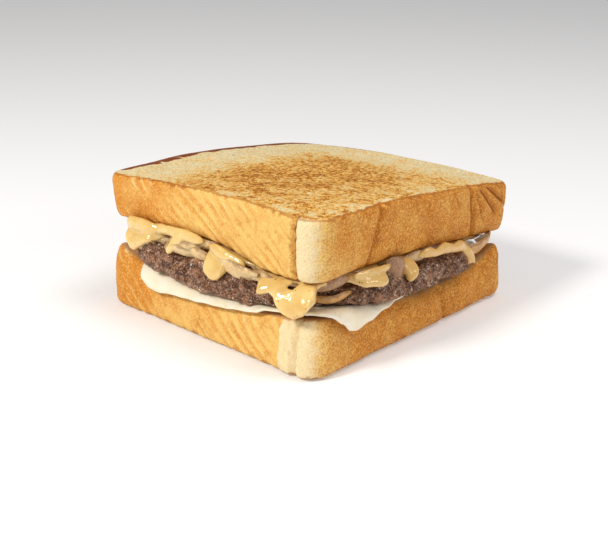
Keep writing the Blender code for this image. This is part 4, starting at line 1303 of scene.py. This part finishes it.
def onion_finish():
    """Cooked onion, gold to plum by its mark, with one brown and one pale edge, and white where a sliver
    stands for a painted highlight.
    """
    f = Finish("cooked_onion", Roughness=0.3, Coat_Weight=0.25, Coat_Roughness=0.1, Subsurface_Weight=0.3,
               Subsurface_Scale=0.003, Subsurface_Radius=(1.0, 0.7, 0.4))
    tone, across, _ = f.mark("onion")
    broad, fine = f.clouds(3.5, 3.0, 0.5, 6.0), f.clouds(0.7, 2.0, 0.5, 2.0)
    colour = f.blend(f.step(tone, 0.2, 0.9), ONION_GOLD, ONION_PLUM)
    # White for the sliver that is a painted highlight.
    colour = f.blend(f.step(tone, 0.0, -0.5), colour, ONION_WHITE_HIGHLIGHT)
    colour = f.blend(f.step(tone, 1.1, 1.7), colour, ONION_AMBER)
    colour = f.blend(broad * 0.4, colour, ONION_BLOTCH)
    colour = f.blend(f.step(across + 0.2 * broad, 0.8, 1.05) * 0.6, colour, ONION_BROWN_EDGE)
    colour = f.blend(f.step(across, -0.7, -0.95) * 0.4, colour, ONION_PALE_EDGE)
    colour = f.blend(f.step(fine, 0.6, 1.0) * 0.3, colour, ONION_SPECK)
    f.give("Base Color", colour)
    f.relief(0.5 * broad + 0.15 * fine, 0.9)
    return f.material


def sauce_finish():
    """Orange-yellow sauce with painted shade towards +X, and specks of spice."""
    f = Finish("creamy_sauce", Roughness=0.18, Coat_Weight=0.7, Coat_Roughness=0.05, Subsurface_Weight=0.2,
               Subsurface_Scale=0.003, Subsurface_Radius=(1.0, 0.7, 0.35))
    broad, fine = f.clouds(7.0, 2.0), f.clouds(1.6, 3.0, 0.5, 4.0)
    x = f.parts(f.place)[0]
    colour = f.blend(broad, SAUCE_ORANGE, SAUCE_YELLOW)
    # Painted shade towards +X.
    colour = f.blend(f.step(x + 16.0 * broad, -38.0, -12.0) * 0.6, colour, SAUCE_PAINTED_SHADE)
    colour = f.blend(f.step(f.cells(2.6, shift=5.0), 0.14, 0.08) * 0.7, colour, SPICE_RED)
    colour = f.blend(f.step(f.cells(4.4, shift=25.0), 0.09, 0.05) * 0.9, colour, SPICE_BROWN)
    f.give("Base Color", colour)
    f.relief(0.35 * f.clouds(3.0, 2.0, 0.4, 7.0) + 0.04 * fine, 0.7)
    return f.material


# --- stage, light and camera ----------------------------------------------------------
# Places and sizes are in metres from here on, and angles in degrees.
FLOOR_SIZE = 3.0
FLOOR_DROP = 0.0002        # it lies a hair under the sandwich
LIGHT_AIM = (0.0, 0.0, 0.03)
# Name, place, size, power in watts and colour.
LIGHTS = (
    ("key", (-0.70, 0.12, 0.60), 0.20, 5.4, (1.0, 0.96, 0.88)),
    ("overhead", (0.12, -0.30, 0.85), 0.45, 2.4, (1.0, 0.98, 0.95)),
    ("right_fill", (0.30, -0.75, 0.42), 0.30, 1.3, (1.0, 0.97, 0.92)),
)
SKY_COLOUR = (1.0, 0.98, 0.95, 1.0)
SKY_STRENGTH = 0.36
CAMERA_PLACE = (-0.32751, -0.27691, 0.16893)
CAMERA_YAW = -49.544
CAMERA_DOWN = 20.132
CAMERA_ROLL = 1.20
CAMERA_LENS = 66.08        # in millimetres, for a sensor CAMERA_SENSOR wide
CAMERA_SENSOR = 36.0


def build_stage():
    deselect_all()
    bpy.ops.mesh.primitive_plane_add(size=FLOOR_SIZE, location=(0.0, 0.0, -FLOOR_DROP))
    floor = bpy.context.object
    floor.name = "floor"
    f = Finish("pale_floor", Roughness=0.9, Emission_Color=(1.0, 1.0, 1.0, 1.0), Emission_Strength=0.12)
    f.give("Base Color", FLOOR_WHITE)
    floor.data.materials.append(f.material)


def add_area_light(name, place, size, power, colour):
    light = bpy.data.lights.new(name, "AREA")
    light.shape = "DISK"
    light.size = size
    light.energy = power
    light.color = colour
    lamp = bpy.data.objects.new(name, light)
    bpy.context.scene.collection.objects.link(lamp)
    aim = Vector(LIGHT_AIM) - Vector(place)
    lamp.matrix_world = Matrix.Translation(place) @ aim.to_track_quat("-Z", "Y").to_matrix().to_4x4()


def build_light():
    world = bpy.data.worlds.new("studio")
    bpy.context.scene.world = world
    world.use_nodes = True
    background = world.node_tree.nodes["Background"]
    background.inputs["Color"].default_value = SKY_COLOUR
    background.inputs["Strength"].default_value = SKY_STRENGTH
    for light in LIGHTS:
        add_area_light(*light)
    bpy.context.scene.view_settings.view_transform = "Standard"


def build_camera():
    camera = bpy.data.cameras.new("camera")
    camera.sensor_width = CAMERA_SENSOR
    camera.lens = CAMERA_LENS
    holder = bpy.data.objects.new("camera", camera)
    bpy.context.scene.collection.objects.link(holder)
    yaw, down, roll = (math.radians(angle) for angle in (CAMERA_YAW, CAMERA_DOWN, CAMERA_ROLL))
    ahead = Vector((-math.sin(yaw) * math.cos(down), math.cos(yaw) * math.cos(down), -math.sin(down)))
    right = ahead.cross(Vector((0, 0, 1))).normalized()
    up = right.cross(ahead)
    rolled_right = right * math.cos(roll) + up * math.sin(roll)
    rolled_up = up * math.cos(roll) - right * math.sin(roll)
    turn = Matrix((rolled_right, rolled_up, -ahead)).transposed().to_4x4()
    holder.matrix_world = Matrix.Translation(CAMERA_PLACE) @ turn
    bpy.context.scene.camera = holder


def ground(x, y):
    """Height of the lower slice's flat underside."""
    return 0.0


def dress_patty_melt():
    build_slice("toast_bottom", "bread_bottom", (HIDDEN_RINGS, UNDERSIDE_RINGS), LOWER_CREASES, LOWER_SIDE,
                ground, lower_top, False, crust_finish("toast_lower", lower_griddle))
    build_slice("toast_top", "bread_top", (TOP_RINGS, HIDDEN_RINGS), UPPER_CREASES, UPPER_SIDE,
                upper_top, upper_under, True, crust_finish("toast_upper", upper_griddle))
    build_cheese(cheese_finish())
    build_patty(beef_finish())
    build_onions(onion_finish())
    build_sauce(sauce_finish())
    build_stage()
    build_light()
    build_camera()


dress_patty_melt()
deselect_all()
